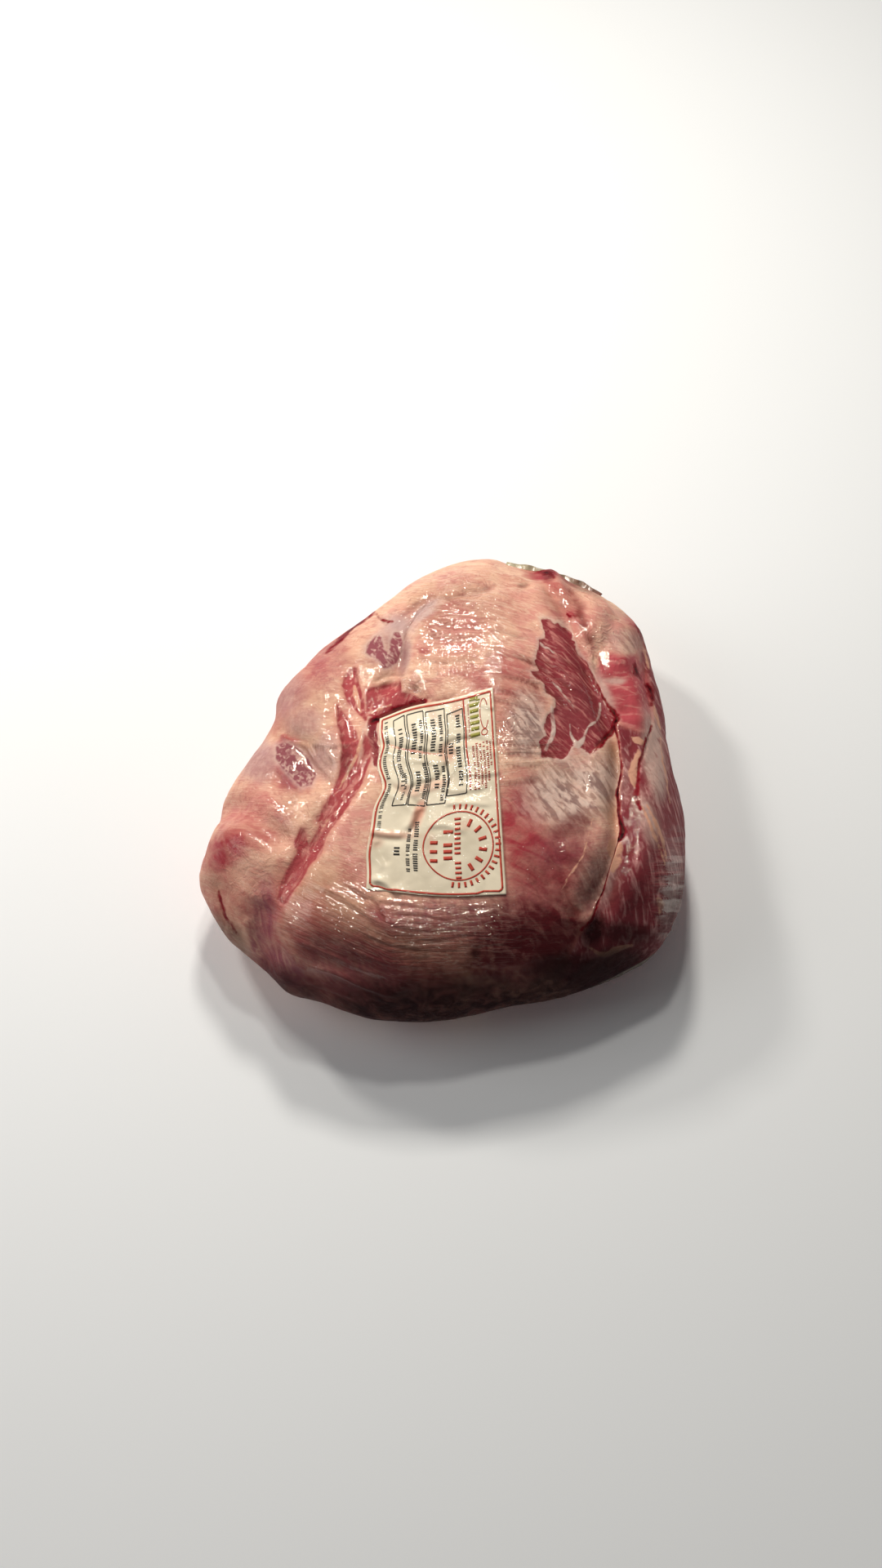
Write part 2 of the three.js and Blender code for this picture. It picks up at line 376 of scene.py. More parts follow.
class Signal:
    """A number in a node tree. An expression on signals adds its Math nodes."""

    def __init__(self, tree: "NodeMaker", socket: bpy.types.NodeSocket) -> None:
        """Wrap an output socket of a tree."""
        self.tree = tree
        self.socket = socket

    def _math(self, operation: str, *values: "Signal | float") -> "Signal":
        """Add a Math node on values and return its result."""
        made = self.tree.add("ShaderNodeMath", {"operation": operation}, dict(enumerate(values)))
        return Signal(self.tree, made.outputs[0])

    def __add__(self, other: "Signal | float") -> "Signal":
        """Add."""
        return self._math("ADD", self, other)

    __radd__ = __add__

    def __sub__(self, other: "Signal | float") -> "Signal":
        """Subtract."""
        return self._math("SUBTRACT", self, other)

    def __rsub__(self, other: float) -> "Signal":
        """Subtract from a number."""
        return self._math("SUBTRACT", other, self)

    def __mul__(self, other: "Signal | float") -> "Signal":
        """Multiply."""
        return self._math("MULTIPLY", self, other)

    __rmul__ = __mul__

    def ridged(self, width: float) -> "Signal":
        """Return 1 where noise crosses its middle value, falling to 0 within a width."""
        return self._math("ABSOLUTE", self - 0.5).eased(width, 0.0)

    def eased(self, start: float, end: float) -> "Signal":
        """Rise smoothly from 0 at start to 1 at end."""
        made = self.tree.add(
            "ShaderNodeMapRange",
            {"interpolation_type": "SMOOTHSTEP"},
            {"Value": self, "From Min": start, "From Max": end},
        )
        return Signal(self.tree, made.outputs[0])

    def clipped(self, most: float = 1.0) -> "Signal":
        """Keep the value between 0 and a limit."""
        made = self.tree.add("ShaderNodeClamp", {}, {"Value": self, "Max": most})
        return Signal(self.tree, made.outputs[0])


Input = Signal | bpy.types.NodeSocket | float | Sequence[float]


class NodeMaker:
    """A material's node tree, filled from an empty start."""

    def __init__(self, name: str) -> None:
        """Make a material of that name."""
        self.material = bpy.data.materials.new(name)
        self.material.use_nodes = True
        self.nodes = self.material.node_tree.nodes
        self.links = self.material.node_tree.links
        self.nodes.clear()

    def add(
        self, kind: str, settings: dict[str, object], inputs: dict[str | int, Input]
    ) -> bpy.types.Node:
        """Add a node.

        Args:
            kind: The node's type.
            settings: Its own settings, set first.
            inputs: Values or links of its sockets, by name or number.

        Returns:
            The node.
        """
        node = self.nodes.new(kind)
        for key, value in settings.items():
            setattr(node, key, value)
        for key, value in inputs.items():
            if isinstance(value, Signal):
                value = value.socket
            if isinstance(value, bpy.types.NodeSocket):
                self.links.new(value, node.inputs[key])
            else:
                node.inputs[key].default_value = value
        return node

    def attribute(self, name: str) -> Signal:
        """Read a number that the mesh's corners carry."""
        return Signal(self, self.add("ShaderNodeAttribute", {"attribute_name": name}, {}).outputs["Fac"])

    def places(self) -> bpy.types.NodeSocket:
        """Return the place on the piece, in metres."""
        return self.add("ShaderNodeTexCoord", {}, {}).outputs["Object"]

    def grain(self, turn: float, sizes: tuple[float, float, float]) -> bpy.types.NodeSocket:
        """Return places turned to the picture plane and measured in cells.

        Args:
            turn: Degrees that the cell's first side is turned, anticlockwise on the picture.
            sizes: The cell's size along that side, across it, and into the picture, in mm.

        Returns:
            The place, as a vector.
        """
        tilt = (VIEW.elevation - math.pi / 2, 0.0, 0.0)
        facing = self.add("ShaderNodeMapping", {}, {"Vector": self.places(), "Rotation": tilt})
        return self.add(
            "ShaderNodeMapping",
            {"vector_type": "TEXTURE"},
            {
                "Vector": facing.outputs[0],
                "Rotation": (0.0, 0.0, math.radians(turn)),
                "Scale": [size * MM for size in sizes],
            },
        ).outputs[0]

    def stream(self, sizes: tuple[float, float, float]) -> bpy.types.NodeSocket:
        """Return the place along and across the film's wrinkles, measured in cells of sizes in mm."""
        place = self.add("ShaderNodeAttribute", {"attribute_name": "stream"}, {}).outputs["Vector"]
        made = self.add(
            "ShaderNodeMapping", {"vector_type": "TEXTURE"}, {"Vector": place, "Scale": sizes}
        )
        return made.outputs[0]

    def noise(self, vector: bpy.types.NodeSocket, detail: float = 3.0, warp: float = 0.0) -> Signal:
        """Add noise of one cell per unit of a vector, from 0 to 1."""
        inputs = {"Vector": vector, "Scale": 1.0, "Detail": detail, "Distortion": warp}
        return Signal(self, self.add("ShaderNodeTexNoise", {}, inputs).outputs["Fac"])

    def speckle(self, size: float, detail: float = 3.0, warp: float = 0.0) -> Signal:
        """Add even noise whose cells are size mm, from 0 to 1."""
        return self.noise(self.grain(0.0, (size, size, size)), detail, warp)

    def blend(self, share: Signal | float, first: Input, second: Input) -> bpy.types.NodeSocket:
        """Mix two colours by a share from 0 to 1."""
        mix = self.add("ShaderNodeMix", {"data_type": "RGBA"}, {0: share, 6: first, 7: second})
        return mix.outputs[2]

    def bump(self, height: Signal, depth: float, strength: float = 1.0) -> bpy.types.NodeSocket:
        """Turn a height from 0 to 1 into a normal, for a relief depth mm deep."""
        inputs = {"Height": height, "Distance": depth * MM, "Strength": strength}
        return self.add("ShaderNodeBump", {}, inputs).outputs[0]

    def finish(self, shader: bpy.types.Node) -> bpy.types.Material:
        """Send a shader to the surface and return the material."""
        self.add("ShaderNodeOutputMaterial", {}, {"Surface": shader.outputs[0]})
        return self.material


def tone(red: int, green: int, blue: int) -> tuple[float, float, float, float]:
    """Return a screen colour, of 0 to 255, as a linear one."""

    def linear(value: float) -> float:
        """Undo the screen's curve."""
        return value / 12.92 if value <= 0.04045 else ((value + 0.055) / 1.055) ** 2.4

    return (*(linear(value / 255) for value in (red, green, blue)), 1.0)


class Tissue(Enum):
    """What the meat's surface is made of, each with a value at every corner of its mesh; the last kind is
    painted shade, not tissue, and some others carry painted shade in part.
    """

    LEAN = "lean"
    STRIP = "strip"
    PINK = "pink"
    SIDE = "side"
    PLUM = "plum"
    STRAND = "strand"
    CLOT_AND_SHADE = "clot_and_shade"
    SEAM = "seam"
    SILVER = "silver"
    HAZE = "haze"
    BLUSH = "blush"
    BRUISE_AND_SHADE = "bruise_and_shade"
    MAUVE = "mauve"
    TAN_AND_SHADE = "tan_and_shade"
    PAINTED_SHADE = "shade"


@dataclass(frozen=True)
class MeatFinish:
    """Wet marbled meat: fat over which the other tissues are laid one after another. Some layers are
    painted light: shade over the lower front and in narrow hollows, shade in parts of the dark red,
    brownish and purple layers, and highlight in pale lines along the film's wrinkles.
    """

    fat: tuple = tone(228, 182, 158)
    fat_pink: tuple = tone(216, 150, 140)
    fat_deep: tuple = tone(190, 120, 112)
    # Pale lines along the film's wrinkles: partly the fat's own pale strands, partly painted highlight on
    # the wrinkles.
    thread_and_sheen: tuple = tone(244, 212, 186)
    vein: tuple = tone(164, 86, 86)
    blush: tuple = tone(168, 62, 70)
    # Brownish fat, also used as painted shade on the fat low down under the label.
    tan_and_shade: tuple = tone(172, 120, 92)
    silver: tuple = tone(148, 118, 112)
    silver_pale: tuple = tone(216, 188, 176)
    haze: tuple = tone(196, 164, 160)
    mauve: tuple = tone(150, 78, 90)
    # Purple bruising, also used as painted shade along the bottom and in small dents of the crown.
    bruise_and_shade: tuple = tone(100, 32, 38)
    halo: tuple = tone(200, 124, 114)
    fringe: tuple = tone(214, 188, 178)
    plum: tuple = tone(144, 80, 88)
    plum_light: tuple = tone(208, 172, 162)
    lean: tuple = tone(142, 54, 62)
    lean_light: tuple = tone(198, 126, 120)
    strip: tuple = tone(172, 76, 80)
    strip_light: tuple = tone(210, 142, 132)
    pink: tuple = tone(186, 80, 88)
    pink_light: tuple = tone(212, 136, 130)
    side: tuple = tone(134, 54, 62)
    side_light: tuple = tone(196, 140, 138)
    strand: tuple = tone(214, 160, 136)
    seam: tuple = tone(132, 18, 32)
    seam_core: tuple = tone(36, 4, 8)
    # Dark clotted-blood red, whose large ovals at the lower right also paint shade there.
    clot_and_shade: tuple = tone(48, 6, 12)
    # Painted shade: near-black red-brown laid over the lower front, where the light falls off.
    shade: tuple = tone(38, 12, 14)
    # Painted shade in narrow hollows: dark red, also standing for blood gathered there.
    hollow_shade: tuple = tone(120, 52, 48)

    def material(self) -> bpy.types.Material:
        """Build the material."""
        tree = NodeMaker("wrapped_meat")
        edge = tree.speckle(4.5, 4.0) - 0.5

        def within(tissue: Tissue, soft: float = 1.2, grown: float = 0.0, ragged: float = 6.0) -> Signal:
            """Return 1 inside a tissue whose attribute is its depth in pixels."""
            return (tree.attribute(tissue.value) + edge * ragged + grown).eased(-soft, soft)

        def strength(tissue: Tissue, mottle: Signal, play: float = 0.5) -> Signal:
            """Return a soft tissue's weight, broken up by a mottle."""
            return (tree.attribute(tissue.value) * (1.0 + (mottle - 0.5) * (2.0 * play))).clipped()

        broad = tree.speckle(40.0, 4.0, 0.8)
        cloud = tree.noise(tree.grain(-35.0, (24.0, 12.0, 12.0)), 5.0, 1.0)
        middle = tree.speckle(10.0, 4.0, 0.8)
        fine = tree.speckle(2.6, 4.0)
        veins = tree.noise(tree.grain(-40.0, (24.0, 10.0, 10.0)), 3.0, 1.6)
        lines = veins.ridged(0.04) * middle.eased(0.4, 0.65)
        # Pale lines that follow the film's wrinkles: partly pale strands of fat, partly painted highlight.
        threads_and_sheen = tree.noise(tree.stream((22.0, 3.4, 1.0)), 4.0, 0.8).ridged(0.05)
        colour = tree.blend(broad.eased(0.44, 0.7), self.fat, self.fat_pink)
        colour = tree.blend(cloud.eased(0.48, 0.72) * 0.55, colour, self.fat_deep)
        colour = tree.blend(threads_and_sheen * 0.5, colour, self.thread_and_sheen)
        colour = tree.blend(lines * 0.4, colour, self.vein)
        # Brownish fat, and painted shade low down.
        colour = tree.blend(strength(Tissue.TAN_AND_SHADE, middle), colour, self.tan_and_shade)
        colour = tree.blend(strength(Tissue.BLUSH, cloud, 0.8), colour, self.blush)
        colour = tree.blend(strength(Tissue.HAZE, broad, 0.8), colour, self.haze)
        fibres = tree.noise(tree.grain(-58.0, (26.0, 4.2, 4.2)), 4.0, 0.6)
        skin = tree.blend(fibres.eased(0.38, 0.6), self.silver, self.silver_pale)
        colour = tree.blend(strength(Tissue.SILVER, cloud, 0.6), colour, skin)
        streaks = tree.noise(tree.grain(-78.0, (20.0, 4.0, 4.0)), 4.0, 0.8)
        colour = tree.blend(strength(Tissue.MAUVE, streaks, 1.3), colour, self.mauve)
        # Purple bruising, and painted shade along the bottom and in small dents.
        marbled = tree.noise(tree.grain(-50.0, (12.0, 7.0, 7.0)), 5.0, 1.0)
        colour = tree.blend(strength(Tissue.BRUISE_AND_SHADE, marbled, 0.8), colour, self.bruise_and_shade)
        for tissue, dark, light, rim, turn, cell, soft in (
            (Tissue.PLUM, self.plum, self.plum_light, self.fringe, -60.0, (9.0, 3.6, 3.6), 1.6),
            (Tissue.SIDE, self.side, self.side_light, self.halo, -80.0, (22.0, 4.0, 4.0), 2.0),
            (Tissue.PINK, self.pink, self.pink_light, self.halo, 4.0, (20.0, 4.0, 4.0), 4.0),
            (Tissue.LEAN, self.lean, self.lean_light, self.fringe, -46.0, (17.0, 2.8, 2.8), 0.8),
            (Tissue.STRIP, self.strip, self.strip_light, self.halo, -112.0, (20.0, 4.0, 4.0), 1.6),
        ):
            muscle = tree.noise(tree.grain(turn, cell), 4.0, 0.6)
            meat = tree.blend(muscle.eased(0.46, 0.72), dark, light)
            ragged = 8.0 if tissue is Tissue.LEAN else 3.5
            colour = tree.blend(within(tissue, 4.0, 3.0, ragged) * 0.5, colour, rim)
            colour = tree.blend(within(tissue, soft, 0.0, ragged), colour, meat)
        veil = strength(Tissue.SILVER, streaks, 1.2) * within(Tissue.SIDE, 6.0)
        veil = veil + strength(Tissue.SILVER, cloud, 0.6) * within(Tissue.PINK, 6.0)
        colour = tree.blend(veil.clipped(0.7), colour, self.silver_pale)
        # Painted highlight: pale lines where the film wrinkles most.
        colour = tree.blend(threads_and_sheen * tree.attribute("flow") * 0.22, colour, self.silver_pale)
        cord = tree.blend(within(Tissue.LEAN, 6.0, 6.0), self.strand, self.fringe)
        colour = tree.blend(within(Tissue.STRAND, 0.9, 0.0, 4.0) * middle.eased(0.2, 0.5), colour, cord)
        colour = tree.blend(within(Tissue.SEAM, 1.4, 0.8), colour, self.seam)
        colour = tree.blend(within(Tissue.SEAM, 1.4, -1.6), colour, self.seam_core)
        # Clotted blood, and painted shade at the lower right.
        colour = tree.blend(strength(Tissue.CLOT_AND_SHADE, fine, 0.3), colour, self.clot_and_shade)
        # Painted shade in narrow hollows, in a dark red that also stands for blood gathered there.
        hollow_shade = tree.attribute("hollow_shade") * (0.6 + middle * 0.6)
        colour = tree.blend(hollow_shade.clipped(0.85), colour, self.hollow_shade)
        # Painted shade over the lower front and lower sides.
        colour = tree.blend(strength(Tissue.PAINTED_SHADE, middle, 0.35), colour, self.shade)
        pressed = tree.noise(tree.stream((26.0, 2.6, 1.0)), 2.0, 0.4) * tree.attribute("flow")
        pinched = tree.speckle(10.0, 3.0, 1.2).ridged(0.12) * tree.attribute("crumple")
        surface = tree.bump(fine * 0.4 + middle * 0.5 + pressed * 0.9 + pinched * 0.35, 1.0)
        shader = tree.add(
            "ShaderNodeBsdfPrincipled",
            {},
            {
                "Base Color": colour,
                "Roughness": fine.eased(0.2, 0.8) * 0.2 + 0.4,
                "Normal": surface,
                "Specular IOR Level": 0.04,
                "Subsurface Weight": 0.05,
                "Subsurface Radius": (1.0, 0.35, 0.2),
                "Subsurface Scale": 0.005,
            },
        )
        return tree.finish(shader)


@dataclass(frozen=True)
class FilmFinish:
    """Clear shrunk film: it only adds gloss, broken up by fine wrinkles.

    Attributes:
        name: The material's name.
        gloss: Colour of its reflections.
        roughness: Of its reflections.
        share: Share of the light that it reflects where it lies flat.
        crimp: What the gathered folds at its right edge add to that.
        wrinkle: Depth of the fine flowing wrinkles, in mm.
        crumple: Depth of the even fine crumple, in mm.
        swell: Depth of the broader waves, in mm.
    """

    name: str = "clear_film"
    gloss: tuple = (1.0, 0.97, 0.9, 1.0)
    roughness: float = 0.06
    share: float = 0.13
    crimp: float = 0.12
    wrinkle: float = 0.25
    crumple: float = 0.3
    swell: float = 1.2

    def material(self) -> bpy.types.Material:
        """Build the material."""
        tree = NodeMaker(self.name)
        flow = tree.noise(tree.stream((26.0, 2.6, 1.0)), 2.0, 0.4).ridged(0.16)
        wave = tree.noise(tree.stream((50.0, 6.0, 1.0)), 3.0, 0.6)
        even = tree.speckle(14.0, 3.0, 1.2).ridged(0.12)
        fine = tree.speckle(7.0, 2.0, 0.8)
        along = flow * self.wrinkle + wave * self.swell
        about = even * self.crumple + fine * (2.0 * self.crumple)
        waves = along * tree.attribute("flow") + about * tree.attribute("crumple")
        normal = tree.bump(waves, 1.0)
        bars = wave.eased(0.5, 0.58) * tree.attribute("crimp")
        share = tree.attribute("gloss") * self.share + bars * self.crimp
        clear = tree.add("ShaderNodeBsdfTransparent", {}, {})
        gloss = tree.add(
            "ShaderNodeBsdfGlossy",
            {},
            {"Color": self.gloss, "Roughness": self.roughness, "Normal": normal},
        )
        mixed = tree.add("ShaderNodeMixShader", {}, {0: share, 1: clear.outputs[0], 2: gloss.outputs[0]})
        return tree.finish(mixed)


@dataclass(frozen=True)
class GatherFinish:
    """Film gathered into a thick fold: greenish and half clear, browner towards one end."""

    name: str
    pale: tuple = tone(190, 182, 150)
    deep: tuple = tone(122, 70, 58)
    opacity: float = 0.8

    def material(self) -> bpy.types.Material:
        """Build the material."""
        tree = NodeMaker(self.name)
        mottle = tree.speckle(5.0, 3.0)
        share = (tree.attribute("deep") + (mottle - 0.5) * 0.6).clipped()
        shader = tree.add(
            "ShaderNodeBsdfPrincipled",
            {},
            {
                "Base Color": tree.blend(share, self.pale, self.deep),
                "Roughness": 0.22,
                "Alpha": (mottle * 0.5 + self.opacity - 0.25).clipped(),
                "Normal": tree.bump(mottle, 0.5),
            },
        )
        return tree.finish(shader)


@dataclass(frozen=True)
class PaperFinish:
    """Damp printed paper, with pink stains where the meat has wet it."""

    light: tuple = tone(240, 228, 204)
    grey: tuple = tone(222, 210, 186)
    stain: tuple = tone(214, 150, 126)

    def material(self) -> bpy.types.Material:
        """Build the material."""
        tree = NodeMaker("damp_paper")
        broad = tree.speckle(28.0, 3.0, 0.5)
        fibre = tree.speckle(0.9, 3.0)
        colour = tree.blend(broad.eased(0.38, 0.68), self.light, self.grey)
        wet = (tree.attribute("stain") * (tree.speckle(7.0) + 0.5)).clipped()
        colour = tree.blend(wet, colour, self.stain)
        shader = tree.add(
            "ShaderNodeBsdfPrincipled",
            {},
            {
                "Base Color": colour,
                "Roughness": fibre * 0.2 + 0.55,
                "Normal": tree.bump(fibre, 0.05, 0.4),
            },
        )
        return tree.finish(shader)


class Ink(Enum):
    """The label's printing inks."""

    RED = "red"
    BLACK = "black"
    OLIVE = "olive"


@dataclass(frozen=True)
class InkFinish:
    """Printing ink that has worn a little."""

    ink: Ink
    full: tuple
    worn: tuple

    def material(self) -> bpy.types.Material:
        """Build the material."""
        tree = NodeMaker(f"{self.ink.value}_ink")
        wear = tree.speckle(3.0, 4.0).eased(0.45, 0.8)
        shader = tree.add(
            "ShaderNodeBsdfPrincipled",
            {},
            {"Base Color": tree.blend(wear, self.full, self.worn), "Roughness": 0.6},
        )
        return tree.finish(shader)


@dataclass(frozen=True)
class FloorFinish:
    """Plain pale floor."""

    pale: tuple = tone(244, 248, 253)

    def material(self) -> bpy.types.Material:
        """Build the material."""
        tree = NodeMaker("pale_floor")
        mottle = tree.speckle(240.0, 2.0)
        colour = tree.blend(mottle, self.pale, [value * 0.985 for value in self.pale[:3]] + [1.0])
        shader = tree.add("ShaderNodeBsdfPrincipled", {}, {"Base Color": colour, "Roughness": 0.85})
        return tree.finish(shader)


def place_piece(piece: bpy.types.Object, node: CadNode) -> None:
    """Hang a finished piece on the frame.

    Args:
        piece: The piece.
        node: CAD node that it stands for.
    """
    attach(piece, ROOT)
    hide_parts(node.value)
    piece.data.calc_loop_triangles()
    LOG.info("%s: %d triangles", piece.name, len(piece.data.loop_triangles))


def new_piece(name: str, mesh: bpy.types.Mesh, material: bpy.types.Material) -> bpy.types.Object:
    """Show a mesh, smooth shaded, in one material."""
    mesh.materials.clear()
    mesh.materials.append(material)
    mesh.shade_smooth()
    piece = bpy.data.objects.new(name, mesh)
    bpy.context.scene.collection.objects.link(piece)
    return piece


def solid_piece(
    name: str, made: bmesh.types.BMesh, thickness: float, material: bpy.types.Material
) -> bpy.types.Object:
    """Thicken a sheet and show it.

    Args:
        name: Of the piece.
        made: The sheet, in mm. It is freed.
        thickness: In mm, below zero to grow to the other side.
        material: Its finish.

    Returns:
        The piece.
    """
    bmesh.ops.solidify(made, geom=made.faces[:], thickness=thickness)
    bmesh.ops.recalc_face_normals(made, faces=made.faces)
    bmesh.ops.scale(made, vec=(MM,) * 3, verts=made.verts)
    mesh = bpy.data.meshes.new(name)
    made.to_mesh(mesh)
    made.free()
    return new_piece(name, mesh, material)


def paint(mesh: bpy.types.Mesh, name: str, values: np.ndarray) -> None:
    """Store a number at each corner of a mesh."""
    layer = mesh.attributes.new(name, "FLOAT", "POINT")
    layer.data.foreach_set("value", values.astype(np.float32))


FAN_SLOPE, FAN_COLUMN, FAN_ROWS = 0.32, 600.0, (905.0, 850.0)
SWEEP_SLOPE, SWEEP_COLUMN, SWEEP_ROWS = 0.45, 480.0, (980.0, 1080.0)


def stream_places(spots: np.ndarray) -> np.ndarray:
    """Return how far along and across the film's fine wrinkles spots in pixels lie, in mm."""
    x, y = spots.T
    fan = FAN_SLOPE * np.maximum(x - FAN_COLUMN, 0.0) * smooth_step(y, *FAN_ROWS)
    sweep = SWEEP_SLOPE * np.maximum(SWEEP_COLUMN - x, 0.0) * smooth_step(y, *SWEEP_ROWS)
    return np.stack((x, y - fan + sweep), axis=1) * VIEW.pixel


def paint_stream(mesh: bpy.types.Mesh, spots: np.ndarray) -> None:
    """Store the stream places of a mesh's corners, which show at spots of the picture."""
    stream = np.pad(stream_places(spots), ((0, 0), (0, 1)))
    layer = mesh.attributes.new("stream", "FLOAT_VECTOR", "POINT")
    layer.data.foreach_set("vector", stream.astype(np.float32).ravel())


def store_places(mesh: bpy.types.Mesh, places: np.ndarray) -> None:
    """Move a mesh's corners to places in mm."""
    mesh.vertices.foreach_set("co", (places * MM).astype(np.float32).ravel())
    mesh.update()


@dataclass
class Ground:
    """The smooth surface on which meat, label and film are built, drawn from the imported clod.

    Attributes:
        centre: Middle of the plan, in mm.
        fin_angles: Plan degrees between which the solid's fin is melted back into the lump.
        fin_heights: Heights between which it is, in mm.
        melts: Smoothing steps that do so.
        rounds: Smoothing steps after the cells are divided.
        facing_start: Share of facing at which the show face begins.
        facing_full: Share at which it is full.
    """

    centre: Spot = (-2.53, -9.78)
    fin_angles: Spot = (41.0, 77.0)
    fin_heights: Spot = (62.0, 96.0)
    melts: int = 90
    rounds: int = 3
    facing_start: float = -0.22
    facing_full: float = 0.0
    mesh: bpy.types.Mesh = field(init=False)
    places: np.ndarray = field(init=False)
    normals: np.ndarray = field(init=False)
    edges: np.ndarray = field(init=False)
    tree: BVHTree = field(init=False)

    def __post_init__(self) -> None:
        """Copy the solid, take off its fin and divide its cells."""
        made = bmesh.new()
        made.from_mesh(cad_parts[CadNode.CLOD.value].data)
        bmesh.ops.scale(made, vec=(1 / MM,) * 3, verts=made.verts)
        bmesh.ops.remove_doubles(made, verts=made.verts, dist=0.002)
        self._smooth(made, [v for v in made.verts if self._on_fin(v.co)], self.melts)
        self._divide(made, lambda face: face.normal.z > -0.9)
        self._divide(made, self._faces_eye)
        self._smooth(made, [v for v in made.verts if v.co.z > 0.5], self.rounds)
        bmesh.ops.triangulate(made, faces=made.faces)
        made.normal_update()
        self.tree = BVHTree.FromBMesh(made)
        self.mesh = bpy.data.meshes.new("ground")
        made.to_mesh(self.mesh)
        made.free()
        count = len(self.mesh.vertices)
        self.places = np.empty(count * 3)
        self.mesh.vertices.foreach_get("co", self.places)
        self.places = self.places.reshape(-1, 3)
        self.normals = np.empty(count * 3)
        self.mesh.vertex_normals.foreach_get("vector", self.normals)
        self.normals = self.normals.reshape(-1, 3)
        self.edges = np.empty(len(self.mesh.edges) * 2, np.int32)
        self.mesh.edges.foreach_get("vertices", self.edges)
        self.edges = self.edges.reshape(-1, 2)
        LOG.info("ground: %d corners, %d faces", count, len(self.mesh.polygons))

    def _on_fin(self, place: Vector) -> bool:
        """Return whether a place lies where the solid's fin stands."""
        angle = math.degrees(math.atan2(place.y - self.centre[1], place.x - self.centre[0]))
        low, high = self.fin_heights
        return self.fin_angles[0] < angle < self.fin_angles[1] and low < place.z < high

    @staticmethod
    def _smooth(made: bmesh.types.BMesh, verts: list[bmesh.types.BMVert], rounds: int) -> None:
        """Even out some corners a number of times."""
        axes = {f"use_axis_{axis}": True for axis in "xyz"}
        for _ in range(rounds):
            bmesh.ops.smooth_vert(made, verts=verts, factor=0.5, **axes)

    @staticmethod
    def _faces_eye(face: bmesh.types.BMFace) -> bool:
        """Return whether a face is turned to the eye."""
        toward = Vector(VIEW.eye) - face.calc_center_median()
        return face.normal.dot(toward.normalized()) > -0.05

    @staticmethod
    def _divide(made: bmesh.types.BMesh, chosen: Callable[[bmesh.types.BMFace], bool]) -> None:
        """Halve the edges of the chosen faces, bulging them a little."""
        made.normal_update()
        edges = {edge for face in made.faces if chosen(face) for edge in face.edges}
        bmesh.ops.subdivide_edges(made, edges=list(edges), cuts=1, smooth=0.6, use_grid_fill=True)
        bmesh.ops.triangulate(made, faces=made.faces)

    @property
    def spots(self) -> np.ndarray:
        """Where the corners show on the picture."""
        return VIEW.pixels(self.places)

    @property
    def shown(self) -> np.ndarray:
        """How far each corner belongs to the show face, from 0 to 1."""
        facing = np.sum(self.normals * VIEW.toward_eye(self.places), axis=1)
        return smooth_step(facing, self.facing_start, self.facing_full)

    def smoothed(self, values: np.ndarray, rounds: int) -> np.ndarray:
        """Average values with their neighbours' a number of times."""
        ends = self.edges.ravel()
        degree = np.bincount(ends, minlength=len(values))
        for _ in range(rounds):
            sums = np.bincount(ends, weights=values[self.edges[:, ::-1].ravel()], minlength=len(values))
            values = 0.5 * values + 0.5 * sums / np.maximum(degree, 1)
        return values

    def raised(self, heights: np.ndarray, floor: float) -> np.ndarray:
        """Lift the corners along their normals, and keep them above a height over the floor."""
        places = self.places + self.normals * heights[:, None]
        places[:, 2] = np.maximum(places[:, 2], floor)
        return places

    def hit(self, spot: Spot) -> np.ndarray:
        """Return the point of the ground that a pixel shows."""
        found = self.tree.ray_cast(Vector(VIEW.eye), Vector(VIEW.sight(spot)))[0]
        return np.array(found)


@dataclass
class Crumple:
    """How the label is creased by the film that presses on it.

    Attributes:
        folds: Sharp creases of the paper, in pixels.
        ripple: Height of the small even ripples, in mm.
        cell: Size of a ripple, in pixels.
    """

    folds: tuple[Crease, ...] = (
        Crease(((461, 908), (490, 917), (525, 923), (560, 925)), 4.5, -2.2, Profile.FOLD),
        Crease(((545, 922), (552, 910), (580, 906), (600, 912), (615, 918)), 4.0, -1.8, Profile.FOLD),
        Crease(((466, 952), (480, 964), (494, 972), (508, 984), (516, 990)), 4.5, -1.8, Profile.FOLD),
        Crease(((494, 972), (512, 962), (535, 955), (548, 938), (552, 925)), 4.0, -1.5, Profile.FOLD),
        Crease(((518, 990), (514, 1000), (508, 1012), (500, 1022)), 4.0, -1.5, Profile.FOLD),
        Crease(((453, 1017), (470, 1021), (498, 1023)), 4.0, 1.4, Profile.FOLD),
        Crease(((452, 1075), (470, 1080), (482, 1090), (492, 1100)), 4.0, 1.6, Profile.FOLD),
        Crease(((462, 1030), (466, 1045), (478, 1060)), 5.0, -1.0, Profile.FOLD),
        Crease(((520, 1012), (545, 1010), (575, 1020)), 4.0, 0.8, Profile.FOLD),
        Crease(((535, 965), (565, 968), (600, 962)), 3.5, 0.8, Profile.FOLD),
        Crease(((560, 945), (590, 948), (618, 944)), 3.0, 0.8, Profile.FOLD),
        Crease(((540, 985), (570, 983), (605, 986)), 3.0, 0.7, Profile.FOLD),
        Crease(((585, 862), (600, 866), (612, 864)), 3.0, 0.9, Profile.FOLD),
        Crease(((500, 893), (520, 900), (540, 915)), 3.5, 0.9, Profile.FOLD),
        Crease(((470, 925), (500, 928), (530, 926)), 3.0, -0.6, Profile.FOLD),
    )
    ripple: float = 0.45
    cell: float = 22.0
    seed: int = 41

    def heights(self, spots: np.ndarray) -> np.ndarray:
        """Return how far the creases move the paper toward the eye, in mm."""
        total = self.ripple * layered_noise(spots, self.cell, self.seed)
        for fold in self.folds:
            total = total + fold.heights(spots)
        return total


